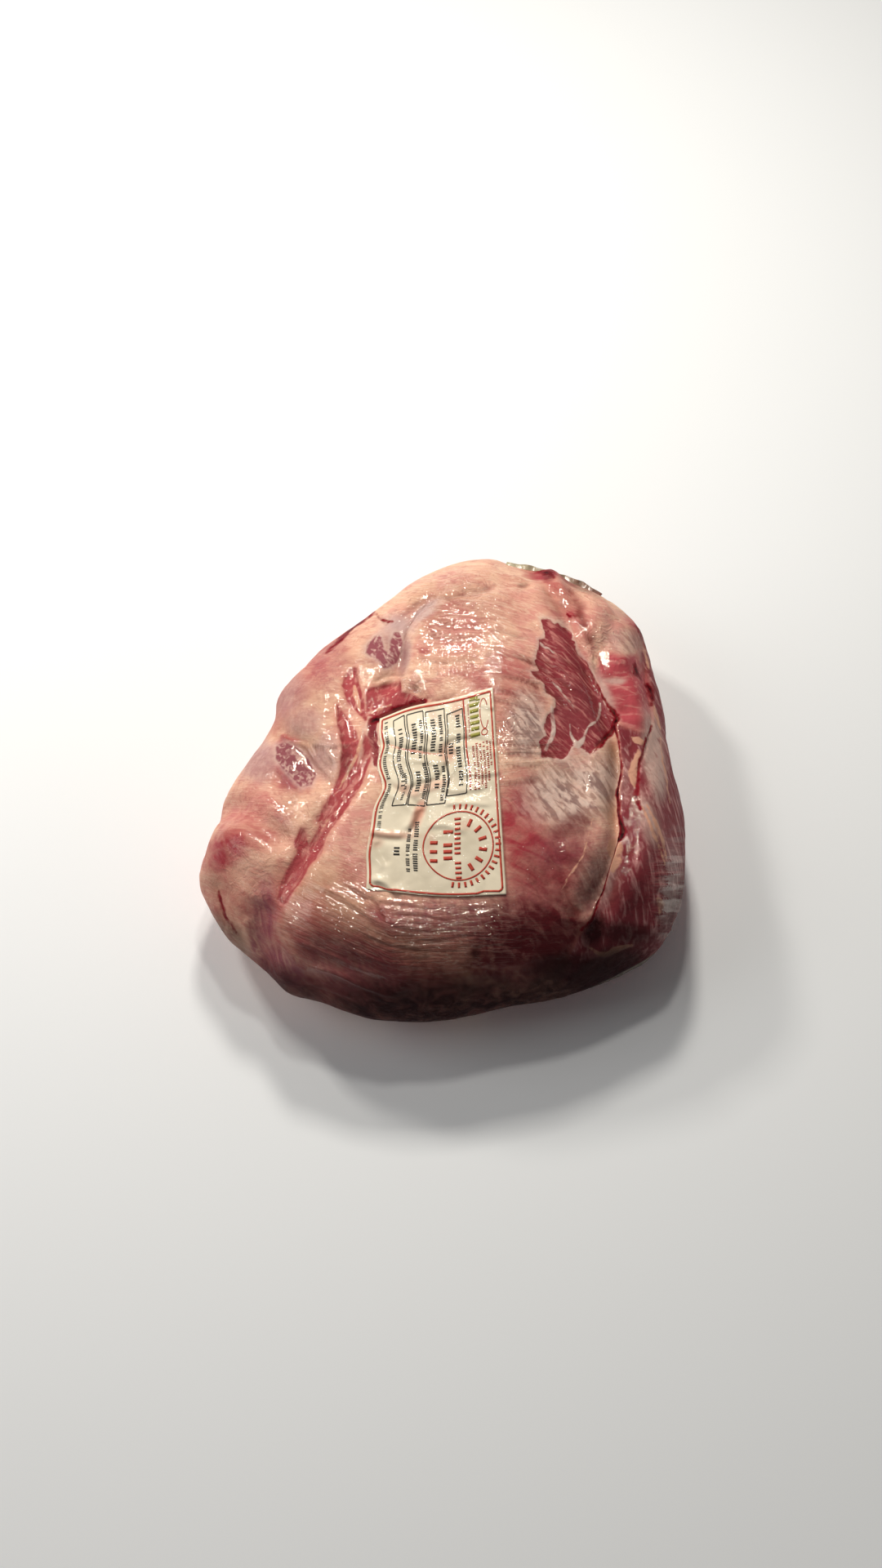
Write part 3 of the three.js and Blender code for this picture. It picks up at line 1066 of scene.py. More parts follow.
@dataclass
class LabelSheet:
    """The label's outline as the film has drawn it, and the surface that it takes up.

    Attributes:
        near_left, near_right, far_left, far_right: Its corners, in pixels.
        size: Its true width and length, in mm.
        cells: Cells across and along it.
        lift: Of its lower side above the ground, in mm.
        thickness: Of the paper, in mm.
        left_buckles: Where along its left edge, over what share, and how far in mm the edge gives way.
        far_bow, near_bow: The same for its far and near edges.
    """

    ground: Ground
    near_left: Spot = (448.3, 1088.3)
    near_right: Spot = (620.0, 1093.3)
    far_left: Spot = (465.0, 881.7)
    far_right: Spot = (603.3, 841.7)
    size: Spot = (100.0, 150.0)
    cells: tuple[int, int] = (92, 132)
    lift: float = 0.9
    thickness: float = 0.3
    left_buckles: tuple[Buckle, ...] = ((0.6, 0.09, 6.0), (0.83, 0.06, 2.5), (0.22, 0.1, -2.0))
    far_bow: Buckle = (0.28, 0.25, 3.0)
    near_bow: Buckle = (0.55, 0.4, 4.0)
    crumple: Crumple = field(default_factory=Crumple)
    points: np.ndarray = field(init=False)

    def __post_init__(self) -> None:
        """Lay the grid of the sheet on the ground."""
        shares = [np.linspace(0.0, 1.0, count + 1) for count in self.cells]
        across, along = np.meshgrid(*shares, indexing="ij")
        spots = self.spots(across.ravel(), along.ravel())
        ground = np.array([self.ground.hit(tuple(spot)) for spot in spots])
        toward = VIEW.toward_eye(ground)
        lifts = self.lift + self.crumple.heights(spots)
        self.points = (ground + toward * lifts[:, None]).reshape(*across.shape, 3)

    @staticmethod
    def _bump(shares: np.ndarray, edge: Buckle) -> np.ndarray:
        """Return a buckle's depth along an edge, in mm."""
        return edge[2] * np.exp(-(((shares - edge[0]) / edge[1]) ** 2))

    def spots(self, across: np.ndarray, along: np.ndarray) -> np.ndarray:
        """Return the pixels of places given by their shares of the width and the length."""
        corners = [np.array(c) for c in (self.near_left, self.near_right, self.far_left, self.far_right)]
        a, b = across[:, None], along[:, None]
        near = corners[0] * (1 - a) + corners[1] * a
        far = corners[2] * (1 - a) + corners[3] * a
        spots = near * (1 - b) + far * b
        sideways = sum(self._bump(along, buckle) for buckle in self.left_buckles)
        upward = along * self._bump(across, self.far_bow) - (1 - along) * self._bump(across, self.near_bow)
        spots[:, 0] += (1 - across) * sideways / VIEW.pixel
        spots[:, 1] -= upward / VIEW.pixel
        return spots

    def outline(self, steps: int = 40) -> np.ndarray:
        """Return the outline's pixels, in order."""
        t = np.linspace(0.0, 1.0, steps, endpoint=False)
        low, high = np.zeros(steps), np.ones(steps)
        across = np.concatenate((t, high, 1 - t, low))
        along = np.concatenate((low, t, high, 1 - t))
        return self.spots(across, along)

    def at(self, places: np.ndarray, lift: float) -> np.ndarray:
        """Find places on the sheet.

        Args:
            places: Places in mm from its near left corner, one row each.
            lift: How far above the paper's lower side, in mm.

        Returns:
            Points in mm.
        """
        cells = np.array(self.cells)
        grid = np.clip(places / np.array(self.size) * cells, 0.0, cells - 1e-6)
        corner = grid.astype(int)
        s, t = (grid - corner).T[:, :, None]
        i, j = corner.T
        p = self.points
        near = p[i, j] * (1 - s) + p[i + 1, j] * s
        far = p[i, j + 1] * (1 - s) + p[i + 1, j + 1] * s
        found = near * (1 - t) + far * t
        sideways = p[i + 1, j] - p[i, j]
        lengthways = p[i, j + 1] - p[i, j]
        normal = unit(np.cross(sideways, lengthways))
        return found + normal * lift


LEAN_WINDOWS: tuple[Window | Band, ...] = (
    Window(
        (
            (662, 757), (671, 759), (682, 765), (694, 775), (702, 797), (712, 810), (725, 830), (736, 857),
            (747, 870), (756, 880), (751, 894), (741, 905), (731, 915), (721, 922), (712, 915), (706, 906),
            (700, 915), (690, 930), (665, 928), (660, 905), (668, 900), (663, 890), (670, 875), (682, 865),
            (680, 855), (669, 847), (665, 837), (654, 830), (650, 822), (661, 820), (655, 810), (660, 795),
            (659, 784), (667, 780),
        )
    ),
    Window(((450, 878), (462, 882), (462, 905), (465, 930), (470, 940), (460, 938), (450, 905))),
)
STRIP_BANDS: tuple[Window | Band, ...] = (
    Window(
        (
            (450, 842), (478, 837), (489, 834), (492, 847), (522, 856), (518, 862), (484, 872), (462, 881),
            (447, 874),
        )
    ),
    Band(((432, 822), (430, 838), (434, 852), (440, 866), (447, 880)), (6.0, 11.0, 11.0, 7.0, 2.0)),
    Band(
        (
            (414, 866), (420, 885), (427, 902), (429, 920), (427, 940), (420, 958), (410, 975), (398, 992),
            (389, 1004),
        ),
        (2.0, 8.0, 11.0, 11.0, 10.0, 8.0, 6.0, 5.0, 3.0),
    ),
    Band(
        (
            (446, 902), (450, 920), (446, 938), (437, 955), (426, 972), (413, 990), (401, 1008),
            (391, 1026), (384, 1042), (371, 1054), (361, 1070), (352, 1085), (345, 1100),
        ),
        (3.0, 5.0, 6.0, 8.0, 9.0, 9.0, 8.0, 8.0, 10.0, 11.0, 11.0, 9.0, 7.0),
    ),
    Band(((370, 1016), (368, 1030), (372, 1042)), (3.0, 8.0, 9.0)),
)
PINK_WINDOWS: tuple[Window | Band, ...] = (
    Window(
        (
            (736, 806), (746, 800), (764, 803), (778, 801), (784, 814), (788, 826), (793, 840), (796, 853),
            (797, 870), (796, 888), (789, 896), (779, 893), (765, 889), (756, 879), (746, 868), (737, 852),
            (732, 836), (733, 820),
        )
    ),
)
SIDE_WINDOWS: tuple[Window | Band, ...] = (
    Window(
        (
            (756, 886), (786, 897), (797, 885), (797, 850), (786, 826), (782, 800), (800, 800), (820, 880),
            (850, 980), (860, 1080), (840, 1150), (800, 1190), (740, 1215), (690, 1200), (700, 1165),
            (716, 1140), (732, 1112), (748, 1072), (762, 1035), (763, 990), (762, 940),
        )
    ),
)
PLUM_WINDOWS: tuple[Window | Band, ...] = (
    Window(
        (
            (448, 798), (453, 787), (459, 779), (465, 777), (469, 786), (469, 796), (474, 800), (477, 792),
            (478, 782), (482, 773), (488, 775), (491, 788), (489, 802), (485, 812), (477, 818), (469, 819),
            (464, 811), (458, 806), (452, 803),
        )
    ),
    Window(
        (
            (338, 914), (348, 910), (360, 914), (372, 922), (381, 934), (387, 948), (381, 962), (368, 963),
            (357, 952), (346, 940), (338, 927),
        )
    ),
)
STRAND_BANDS: tuple[Window | Band, ...] = (
    Band(((733, 864), (732, 879), (721, 891), (716, 904), (707, 912)), (0.8, 1.2, 1.4, 1.6, 3.5)),
    Band(((698, 886), (700, 900), (706, 910)), (0.8, 1.2, 2.5)),
    Band(((660, 786), (674, 795), (690, 806)), (0.8, 0.9, 0.3)),
    Band(((668, 828), (684, 842), (704, 868)), (0.6, 0.8, 0.4)),
    Band(((676, 862), (678, 885), (674, 902), (668, 920)), (1.5, 3.0, 2.5, 1.0)),
    Window(((771, 902), (779, 901), (786, 908), (784, 913), (776, 911))),
    Window(
        ((780, 918), (784, 924), (781, 937), (780, 957), (779, 969), (773, 961), (768, 949), (772, 937))
    ),
    Window(((758, 1032), (766, 1034), (762, 1057), (750, 1074), (747, 1062), (755, 1047))),
    Band(((747, 1030), (745, 1040), (746, 1052)), (3.0, 3.5, 2.5)),
    Band(((785, 988), (794, 1006), (801, 1022), (808, 1040), (813, 1060)), (1.0, 1.5, 1.4, 1.0, 0.6)),
    Band(((791, 986), (802, 1008), (810, 1030), (815, 1052)), (1.0, 2.2, 2.0, 1.0)),
    Band(((787, 798), (790, 810), (793, 822)), (0.8, 1.6, 0.8)),
    Band(((798, 864), (802, 878), (808, 892)), (1.0, 2.6, 1.5)),
    Band(((808, 905), (814, 940), (822, 985)), (0.6, 0.8, 0.4)),
    Band(
        ((443, 884), (444, 900), (440, 918), (432, 936), (422, 954), (410, 972)),
        (0.8, 1.4, 2.0, 2.0, 1.6, 0.6),
    ),
    Band(((450, 872), (462, 868), (479, 862)), (0.8, 1.4, 0.6)),
    Band(((434, 838), (437, 854), (440, 870)), (1.5, 3.4, 1.5)),
    Band(((404, 996), (396, 1012), (390, 1020)), (0.6, 1.2, 0.5)),
    Band(((804, 1098), (809, 1107), (806, 1118)), (1.0, 4.0, 1.0)),
    Band(((722, 1160), (738, 1168), (756, 1162), (774, 1158)), (1.0, 3.0, 4.0, 1.5)),
    Band(((755, 1172), (746, 1180), (742, 1192)), (1.0, 2.5, 1.0)),
    Band(((728, 998), (712, 1048), (698, 1072), (688, 1090)), (0.0, 0.8, 1.0, 0.2)),
)
SEAM_BANDS: tuple[Window | Band, ...] = (
    Band(
        (
            (724, 828), (738, 855), (748, 868), (756, 878), (752, 892), (756, 905), (761, 948), (758, 962),
            (756, 975), (760, 984), (760, 1000), (765, 1018), (762, 1030), (754, 1038), (745, 1064),
            (737, 1095), (728, 1114), (723, 1127), (712, 1140),
        ),
        (0.3, 1.6, 2.0, 3.0, 3.0, 0.8, 0.8, 2.6, 4.2, 2.0, 2.6, 3.6, 4.0, 2.6, 2.0, 2.4, 1.4, 1.6, 1.0),
    ),
    Band(((752, 890), (742, 903), (732, 914), (722, 922)), (2.5, 2.6, 1.6, 0.5)),
    Band(((655, 700), (664, 706), (676, 714)), (0.2, 1.4, 0.8)),
    Band(((776, 812), (779, 822), (784, 832)), (0.5, 2.6, 1.0)),
    Band(((790, 838), (796, 850), (797, 864)), (0.8, 3.0, 1.0)),
    Band(
        ((794, 892), (786, 911), (783, 932), (782, 957), (780, 976), (784, 992)),
        (1.0, 1.0, 0.8, 1.2, 2.6, 0.6),
    ),
    Band(((455, 882), (470, 876), (485, 869), (505, 862), (520, 857)), (3.0, 5.0, 6.0, 5.0, 3.0)),
    Band(((693, 758), (700, 761), (708, 757)), (0.8, 1.4, 0.6)),
    Band(((268, 1090), (272, 1105), (278, 1125), (288, 1142)), (0.2, 0.8, 1.0, 0.5)),
    Band(((400, 798), (420, 780), (440, 762), (458, 750)), (0.5, 1.6, 1.6, 0.6)),
    Band(((461, 752), (470, 759), (480, 760)), (0.3, 1.0, 0.4)),
    Band(((778, 764), (786, 778), (792, 796), (797, 812)), (0.6, 1.6, 1.6, 0.8)),
)
# Clotted blood in small ovals; the large ovals at the lower right are painted shade as well.
CLOT_AND_SHADE_BLOTS: tuple[Blot, ...] = (
    Blot((728, 1140), (18, 26), 30.0, 1.0),
    Blot((765, 1142), (44, 16), 4.0, 0.75),
    Blot((772, 1096), (36, 36), 0.0, 0.45),
    Blot((735, 1190), (70, 26), -20.0, 0.9),
    Blot((690, 1185), (44, 22), 10.0, 0.8),
    Blot((457, 900), (6, 24), -4.0, 0.25),
    Blot((582, 1168), (8, 8), 0.0, 0.8),
    Blot((670, 710), (8, 7), 0.0, 0.5),
    Blot((706, 716), (40, 5), 26.0, 0.4),
    Blot((425, 930), (8, 20), 0.0, 0.35),
)
SILVER_BLOTS: tuple[Blot, ...] = (
    Blot((645, 888), (28, 50), 0.0, 0.95),
    Blot((700, 968), (72, 48), -18.0, 0.95),
    Blot((728, 1078), (28, 44), 20.0, 0.6),
    Blot((800, 925), (16, 60), -8.0, 0.9),
    Blot((792, 1000), (14, 40), -20.0, 0.5),
    Blot((736, 846), (12, 40), -24.0, 0.8),
    Blot((752, 832), (20, 5), -8.0, 0.8),
    Blot((765, 785), (28, 18), 0.0, 0.45),
)
HAZE_BLOTS: tuple[Blot, ...] = (
    Blot((375, 884), (26, 24), 0.0, 0.5),
    Blot((318, 932), (30, 28), -40.0, 0.7),
    Blot((400, 925), (22, 34), 0.0, 0.5),
    Blot((486, 770), (26, 22), 0.0, 0.9),
    Blot((520, 750), (30, 9), -38.0, 0.8),
    Blot((496, 800), (9, 34), 8.0, 0.7),
    Blot((440, 935), (14, 34), 20.0, 0.5),
    Blot((355, 850), (28, 32), 0.0, 0.4),
    Blot((290, 1175), (30, 20), 30.0, 0.4),
)
BLUSH_BLOTS: tuple[Blot, ...] = (
    Blot((280, 1038), (40, 28), -35.0, 0.95),
    Blot((262, 1058), (20, 10), 40.0, 0.7),
    Blot((310, 1010), (56, 56), 0.0, 0.45),
    Blot((640, 1010), (40, 70), 0.0, 0.95),
    Blot((662, 1060), (66, 60), 0.0, 0.8),
    Blot((620, 880), (20, 36), 0.0, 0.6),
    Blot((380, 815), (74, 30), -38.0, 0.5),
    Blot((336, 866), (30, 40), 0.0, 0.5),
    Blot((405, 765), (90, 12), -38.0, 0.85),
    Blot((370, 848), (14, 12), 0.0, 0.5),
    Blot((352, 912), (18, 14), 0.0, 0.8),
    Blot((360, 945), (34, 34), 0.0, 0.6),
    Blot((715, 770), (16, 26), 20.0, 0.5),
    Blot((690, 735), (26, 44), -30.0, 0.55),
    Blot((664, 706), (28, 12), 25.0, 0.9),
    Blot((700, 756), (12, 5), 0.0, 0.8),
    Blot((788, 760), (22, 54), -12.0, 0.8),
    Blot((708, 812), (14, 44), -25.0, 0.6),
    Blot((625, 845), (74, 54), 20.0, 0.45),
    Blot((520, 798), (9, 6), 0.0, 0.8),
    Blot((570, 780), (50, 70), 0.0, 0.2),
    Blot((335, 1130), (18, 90), 4.0, 0.6),
    Blot((300, 1090), (60, 60), 0.0, 0.35),
    Blot((470, 1125), (26, 18), 50.0, 0.6),
    Blot((390, 1150), (80, 50), 20.0, 0.5),
    Blot((440, 1200), (120, 50), 10.0, 0.6),
)
# Purple bruising; the small ovals in the crown's dents and the wide ones along the bottom are painted
# shade.
BRUISE_AND_SHADE_BLOTS: tuple[Blot, ...] = (
    Blot((655, 1150), (110, 72), 0.0, 0.95),
    Blot((590, 1135), (80, 36), 0.0, 0.6),
    Blot((700, 1012), (40, 18), -25.0, 0.7),
    Blot((690, 1075), (70, 60), 0.0, 0.6),
    Blot((335, 1195), (44, 22), 32.0, 0.6),
    Blot((620, 1185), (70, 30), 0.0, 0.9),
    Blot((550, 1150), (110, 26), 0.0, 0.5),
    Blot((640, 717), (6, 5), 0.0, 0.6),
    Blot((592, 722), (20, 4), -20.0, 0.3),
    Blot((510, 742), (26, 5), -30.0, 0.35),
    Blot((492, 800), (10, 34), 10.0, 0.4),
    Blot((470, 797), (24, 22), 0.0, 0.3),
    Blot((480, 1180), (120, 30), 12.0, 0.5),
    Blot((450, 1220), (120, 34), 10.0, 0.7),
    Blot((560, 1215), (200, 40), 0.0, 0.6),
    Blot((800, 975), (24, 80), -8.0, 0.25),
    Blot((430, 745), (74, 8), -36.0, 0.6),
)
MAUVE_BLOTS: tuple[Blot, ...] = (
    Blot((320, 1130), (18, 62), 6.0, 0.75),
    Blot((345, 1185), (52, 26), 35.0, 0.75),
    Blot((318, 935), (26, 26), -40.0, 0.4),
    Blot((372, 884), (24, 20), 0.0, 0.3),
    Blot((400, 815), (26, 52), 10.0, 0.35),
    Blot((350, 850), (30, 36), 0.0, 0.3),
    Blot((362, 946), (24, 26), 0.0, 0.8),
    Blot((470, 800), (32, 30), 0.0, 0.35),
    Blot((650, 1140), (96, 64), 0.0, 0.5),
    Blot((690, 1040), (52, 30), -20.0, 0.45),
    Blot((812, 960), (24, 90), -8.0, 0.4),
    Blot((430, 1190), (96, 44), 14.0, 0.5),
    Blot((545, 1122), (110, 30), 0.0, 0.55),
)
# Brownish fat; the ovals low down under the label paint the shade on the fat there.
TAN_AND_SHADE_BLOTS: tuple[Blot, ...] = (
    Blot((400, 1110), (80, 60), 20.0, 0.6),
    Blot((749, 935), (9, 34), 0.0, 0.9),
    Blot((748, 985), (9, 26), 0.0, 0.7),
    Blot((270, 1100), (30, 46), -20.0, 0.35),
    Blot((540, 745), (50, 30), -10.0, 0.3),
    Blot((500, 1140), (90, 44), 6.0, 0.5),
    Blot((640, 740), (50, 30), 0.0, 0.15),
    Blot((375, 885), (60, 60), 0.0, 0.25),
    Blot((560, 1180), (130, 44), 4.0, 0.5),
)
# Painted shade: where these ovals lie, the lower front and sides are darkened as if the light fell off
# there.
PAINTED_SHADE_BLOTS: tuple[Blot, ...] = (
    Blot((560, 1245), (270, 70), 0.0, 0.95),
    Blot((700, 1210), (150, 60), -18.0, 0.9),
    Blot((360, 1225), (100, 44), 22.0, 0.8),
    Blot((480, 1170), (200, 50), 8.0, 0.45),
    Blot((640, 1160), (120, 50), 0.0, 0.4),
    Blot((830, 1120), (26, 70), 20.0, 0.5),
    Blot((280, 1150), (22, 56), -40.0, 0.6),
)

MEAT_CREASES: tuple[Crease, ...] = (
    Crease(
        (
            (650, 692), (672, 705), (690, 740), (703, 777), (718, 807), (735, 847), (747, 877), (758, 907),
            (760, 943), (758, 983), (760, 1020), (755, 1043), (745, 1073), (732, 1103), (718, 1127),
            (710, 1147),
        ),
        11.0, 5.5, Profile.ROUND, 0.08,
    ),
    Crease(((668, 706), (684, 730), (697, 760), (708, 790), (722, 820)), 4.0, -1.4),
    Crease(((684, 712), (698, 740), (709, 768), (720, 796)), 3.0, 0.6),
    Crease(
        (
            (724, 828), (738, 855), (756, 879), (755, 900), (761, 948), (757, 966), (760, 984), (760, 1000),
            (765, 1018), (760, 1032), (752, 1042), (745, 1064), (737, 1095), (728, 1114), (718, 1132),
        ),
        3.4, -2.0, Profile.SHARP, 0.1,
    ),
    Crease(((754, 892), (742, 904), (728, 916)), 3.0, -1.4, Profile.SHARP, 0.2),
    Crease(((788, 780), (790, 827), (795, 867), (792, 903), (780, 950), (773, 983)), 10.0, 2.6),
    Crease(
        ((790, 790), (788, 830), (795, 870), (793, 900), (780, 950), (775, 990)),
        3.0, -1.4, Profile.SHARP,
    ),
    Crease(((762, 806), (768, 845), (776, 884)), 20.0, -3.4, Profile.ROUND, 0.3),
    Crease(((732, 750), (730, 775), (716, 792)), 5.0, -0.6),
    Crease(((692, 757), (700, 760), (708, 756)), 4.0, 1.6),
    Crease(((545, 728), (523, 743), (504, 763), (495, 787), (490, 810)), 9.0, 2.6),
    Crease(((540, 728), (518, 746), (502, 768), (494, 792), (490, 815)), 2.6, -1.4, Profile.SHARP),
    Crease(((432, 812), (444, 818), (456, 824)), 8.0, 1.6, Profile.ROUND, 0.4),
    Crease(((497, 822), (502, 834), (508, 846)), 8.0, 1.4, Profile.ROUND, 0.4),
    Crease(((262, 1080), (268, 1093), (273, 1120), (285, 1143)), 3.0, -0.8),
    Crease(((497, 830), (515, 850), (540, 856), (570, 846)), 4.0, -1.2),
    Crease(((458, 880), (480, 870), (505, 862), (522, 858)), 3.5, -1.5),
    Crease(((541, 735), (560, 730), (585, 722), (610, 718)), 4.0, -1.2),
    Crease(((500, 742), (520, 736), (540, 728)), 4.0, -1.0),
    Crease(((465, 752), (472, 764), (478, 752), (490, 742)), 3.0, -1.0),
    Crease(((410, 870), (414, 900), (418, 930)), 3.0, 0.6),
    Crease(((300, 1120), (306, 1150), (318, 1180)), 6.0, 1.0),
    Crease(((330, 1105), (333, 1140), (345, 1175)), 6.0, -0.8),
    Crease(((345, 1105), (356, 1130), (366, 1150)), 5.0, 0.7),
    Crease(((640, 1090), (665, 1110), (690, 1125), (715, 1130)), 4.0, 0.8),
    Crease(((690, 1080), (700, 1105), (712, 1122)), 4.0, -0.8),
    Crease(((650, 960), (680, 990), (700, 1020)), 6.0, 0.6),
    Crease(((600, 1165), (650, 1172), (700, 1165)), 6.0, 0.6),
)


ISLAND_SLOPE = 30.0  # pixels of depth per unit of noise
DEPTH_LIMIT = 12.0  # pixels


@dataclass
class Meat:
    """The meat itself: relief, what each place is made of, and the shade painted on it.

    Attributes:
        sink: How far lean lies below the fat round it, in mm.
        bumps: Height of the even unevenness, in mm.
        bump_cell: Its size, in mm.
        grain: Height of the finer unevenness, in mm.
        fold_share: How much of the film's folds it takes.
        under_label: How far it gives way under the label, in mm.
        floor: Lowest that it reaches over the floor, in mm.
        hollow_rounds: Smoothing steps that tell its narrow hollows from the rest.
        hollow_depth: Depth of a narrow dip at which its painted shade is darkest, in mm.
    """

    ground: Ground
    sheet: LabelSheet
    finish: MeatFinish = field(default_factory=MeatFinish)
    sink: float = 0.9
    bumps: float = 1.0
    bump_cell: float = 26.0
    grain: float = 0.5
    fold_share: float = 0.9
    under_label: float = 0.6
    floor: float = 0.5
    hollow_rounds: int = 10
    hollow_depth: float = 0.9
    shown: np.ndarray = field(init=False)
    spots: np.ndarray = field(init=False)
    paints: dict[Tissue, np.ndarray] = field(init=False)
    heights: np.ndarray = field(init=False)

    def __post_init__(self) -> None:
        """Work out the relief."""
        ground = self.ground
        self.shown = ground.shown
        spots = ground.spots
        wander = np.stack(
            (layered_noise(ground.places, 16.0, 5), layered_noise(ground.places, 16.0, 15)), axis=1
        )
        self.spots = spots + 3.0 * wander
        self.paints = self._paints()
        even = self.bumps * layered_noise(ground.places, self.bump_cell, 3)
        even = even + self.grain * layered_noise(ground.places, 7.0, 8)
        drawn = sum(crease.heights(spots) for crease in MEAT_CREASES)
        drawn = drawn + self.fold_share * sum(fold.heights(spots) for fold in FILM_FOLDS)
        for tissue in (Tissue.LEAN, Tissue.STRIP):
            drawn = drawn - self.sink * smooth_step(self.paints[tissue], -1.5, 2.5)
        drawn = drawn + 0.35 * smooth_step(self.paints[Tissue.STRAND], -1.5, 1.5)
        covered = smooth_step(outline_depth(spots, self.sheet.outline()), -3.0, 4.0) * self.shown
        heights = even * (0.8 + 0.2 * (1.0 - self.shown)) + drawn * self.shown
        self.heights = heights * (1.0 - covered) - self.under_label * covered

    def _depths(self, shapes: Iterable[Window | Band], rear: float, cell: float, seed: int) -> np.ndarray:
        """Return how deep each corner lies in a crisp tissue, in pixels.

        Args:
            shapes: Its windows and bands on the show face.
            rear: Bias of its islands on the other sides: the lower, the fewer.
            cell: Size of those islands, in mm.
            seed: Picks their pattern.
        """
        shown = np.max([shape.depth(self.spots) for shape in shapes], axis=0)
        stretch = self.ground.places * np.array((1.0, 1.0, 0.7))
        islands = ISLAND_SLOPE * (layered_noise(stretch, cell, seed) + rear)
        depth = np.where(self.shown > 0.35, shown, np.minimum(islands, 10.0 - 40.0 * self.shown))
        return np.clip(depth, -DEPTH_LIMIT, DEPTH_LIMIT)

    def _weights(self, blots: Iterable[Blot], rear: float, cell: float, seed: int) -> np.ndarray:
        """Return each corner's weight of a soft tissue.

        Args:
            blots: Its ovals on the show face.
            rear: How much of it there is on the other sides, from 0 to 1.
            cell: Size of its clouds there, in mm.
            seed: Picks their pattern.
        """
        shown = blot_weights(blots, self.spots)
        clouds = smooth_step(layered_noise(self.ground.places, cell, seed), 0.5 - rear, 1.1 - rear)
        return shown * self.shown + clouds * rear * (1.0 - self.shown)

    def _paints(self) -> dict[Tissue, np.ndarray]:
        """Return every tissue's value at each corner."""
        return {
            Tissue.LEAN: self._depths(LEAN_WINDOWS, -0.32, 52.0, 61),
            Tissue.STRIP: self._depths(STRIP_BANDS, -0.5, 34.0, 62),
            Tissue.PINK: self._depths(PINK_WINDOWS, -0.45, 60.0, 63),
            Tissue.SIDE: self._depths(SIDE_WINDOWS, -0.4, 64.0, 64),
            Tissue.PLUM: self._depths(PLUM_WINDOWS, -0.5, 40.0, 65),
            Tissue.STRAND: self._depths(STRAND_BANDS, -0.6, 22.0, 66),
            Tissue.SEAM: self._depths(SEAM_BANDS, -0.7, 40.0, 73),
            Tissue.CLOT_AND_SHADE: self._weights(CLOT_AND_SHADE_BLOTS, 0.05, 30.0, 67),
            Tissue.SILVER: self._weights(SILVER_BLOTS, 0.4, 44.0, 68),
            Tissue.HAZE: self._weights(HAZE_BLOTS, 0.3, 50.0, 75),
            Tissue.BLUSH: self._weights(BLUSH_BLOTS, 0.5, 40.0, 69),
            Tissue.BRUISE_AND_SHADE: self._weights(BRUISE_AND_SHADE_BLOTS, 0.4, 48.0, 70),
            Tissue.MAUVE: self._weights(MAUVE_BLOTS, 0.5, 36.0, 74),
            Tissue.TAN_AND_SHADE: self._weights(TAN_AND_SHADE_BLOTS, 0.45, 60.0, 71),
            Tissue.PAINTED_SHADE: self._weights(PAINTED_SHADE_BLOTS, 0.0, 60.0, 72),
        }

    def build(self) -> bpy.types.Object:
        """Make the piece."""
        mesh = self.ground.mesh.copy()
        mesh.name = "meat"
        store_places(mesh, self.ground.raised(self.heights, self.floor))
        for tissue, values in self.paints.items():
            paint(mesh, tissue.value, values)
        # How deep each corner lies in a narrow dip, for the painted shade there.
        hollow_shade = self.ground.smoothed(self.heights, self.hollow_rounds) - self.heights
        paint(mesh, "hollow_shade", smooth_step(hollow_shade, 0.05, self.hollow_depth))
        for name, blots in (("flow", FLOW_BLOTS), ("crumple", CRUMPLE_BLOTS)):
            paint(mesh, name, self.shown * blot_weights(blots, self.spots))
        paint_stream(mesh, self.ground.spots)
        piece = new_piece("meat", mesh, self.finish.material())
        place_piece(piece, CadNode.CLOD)
        return piece


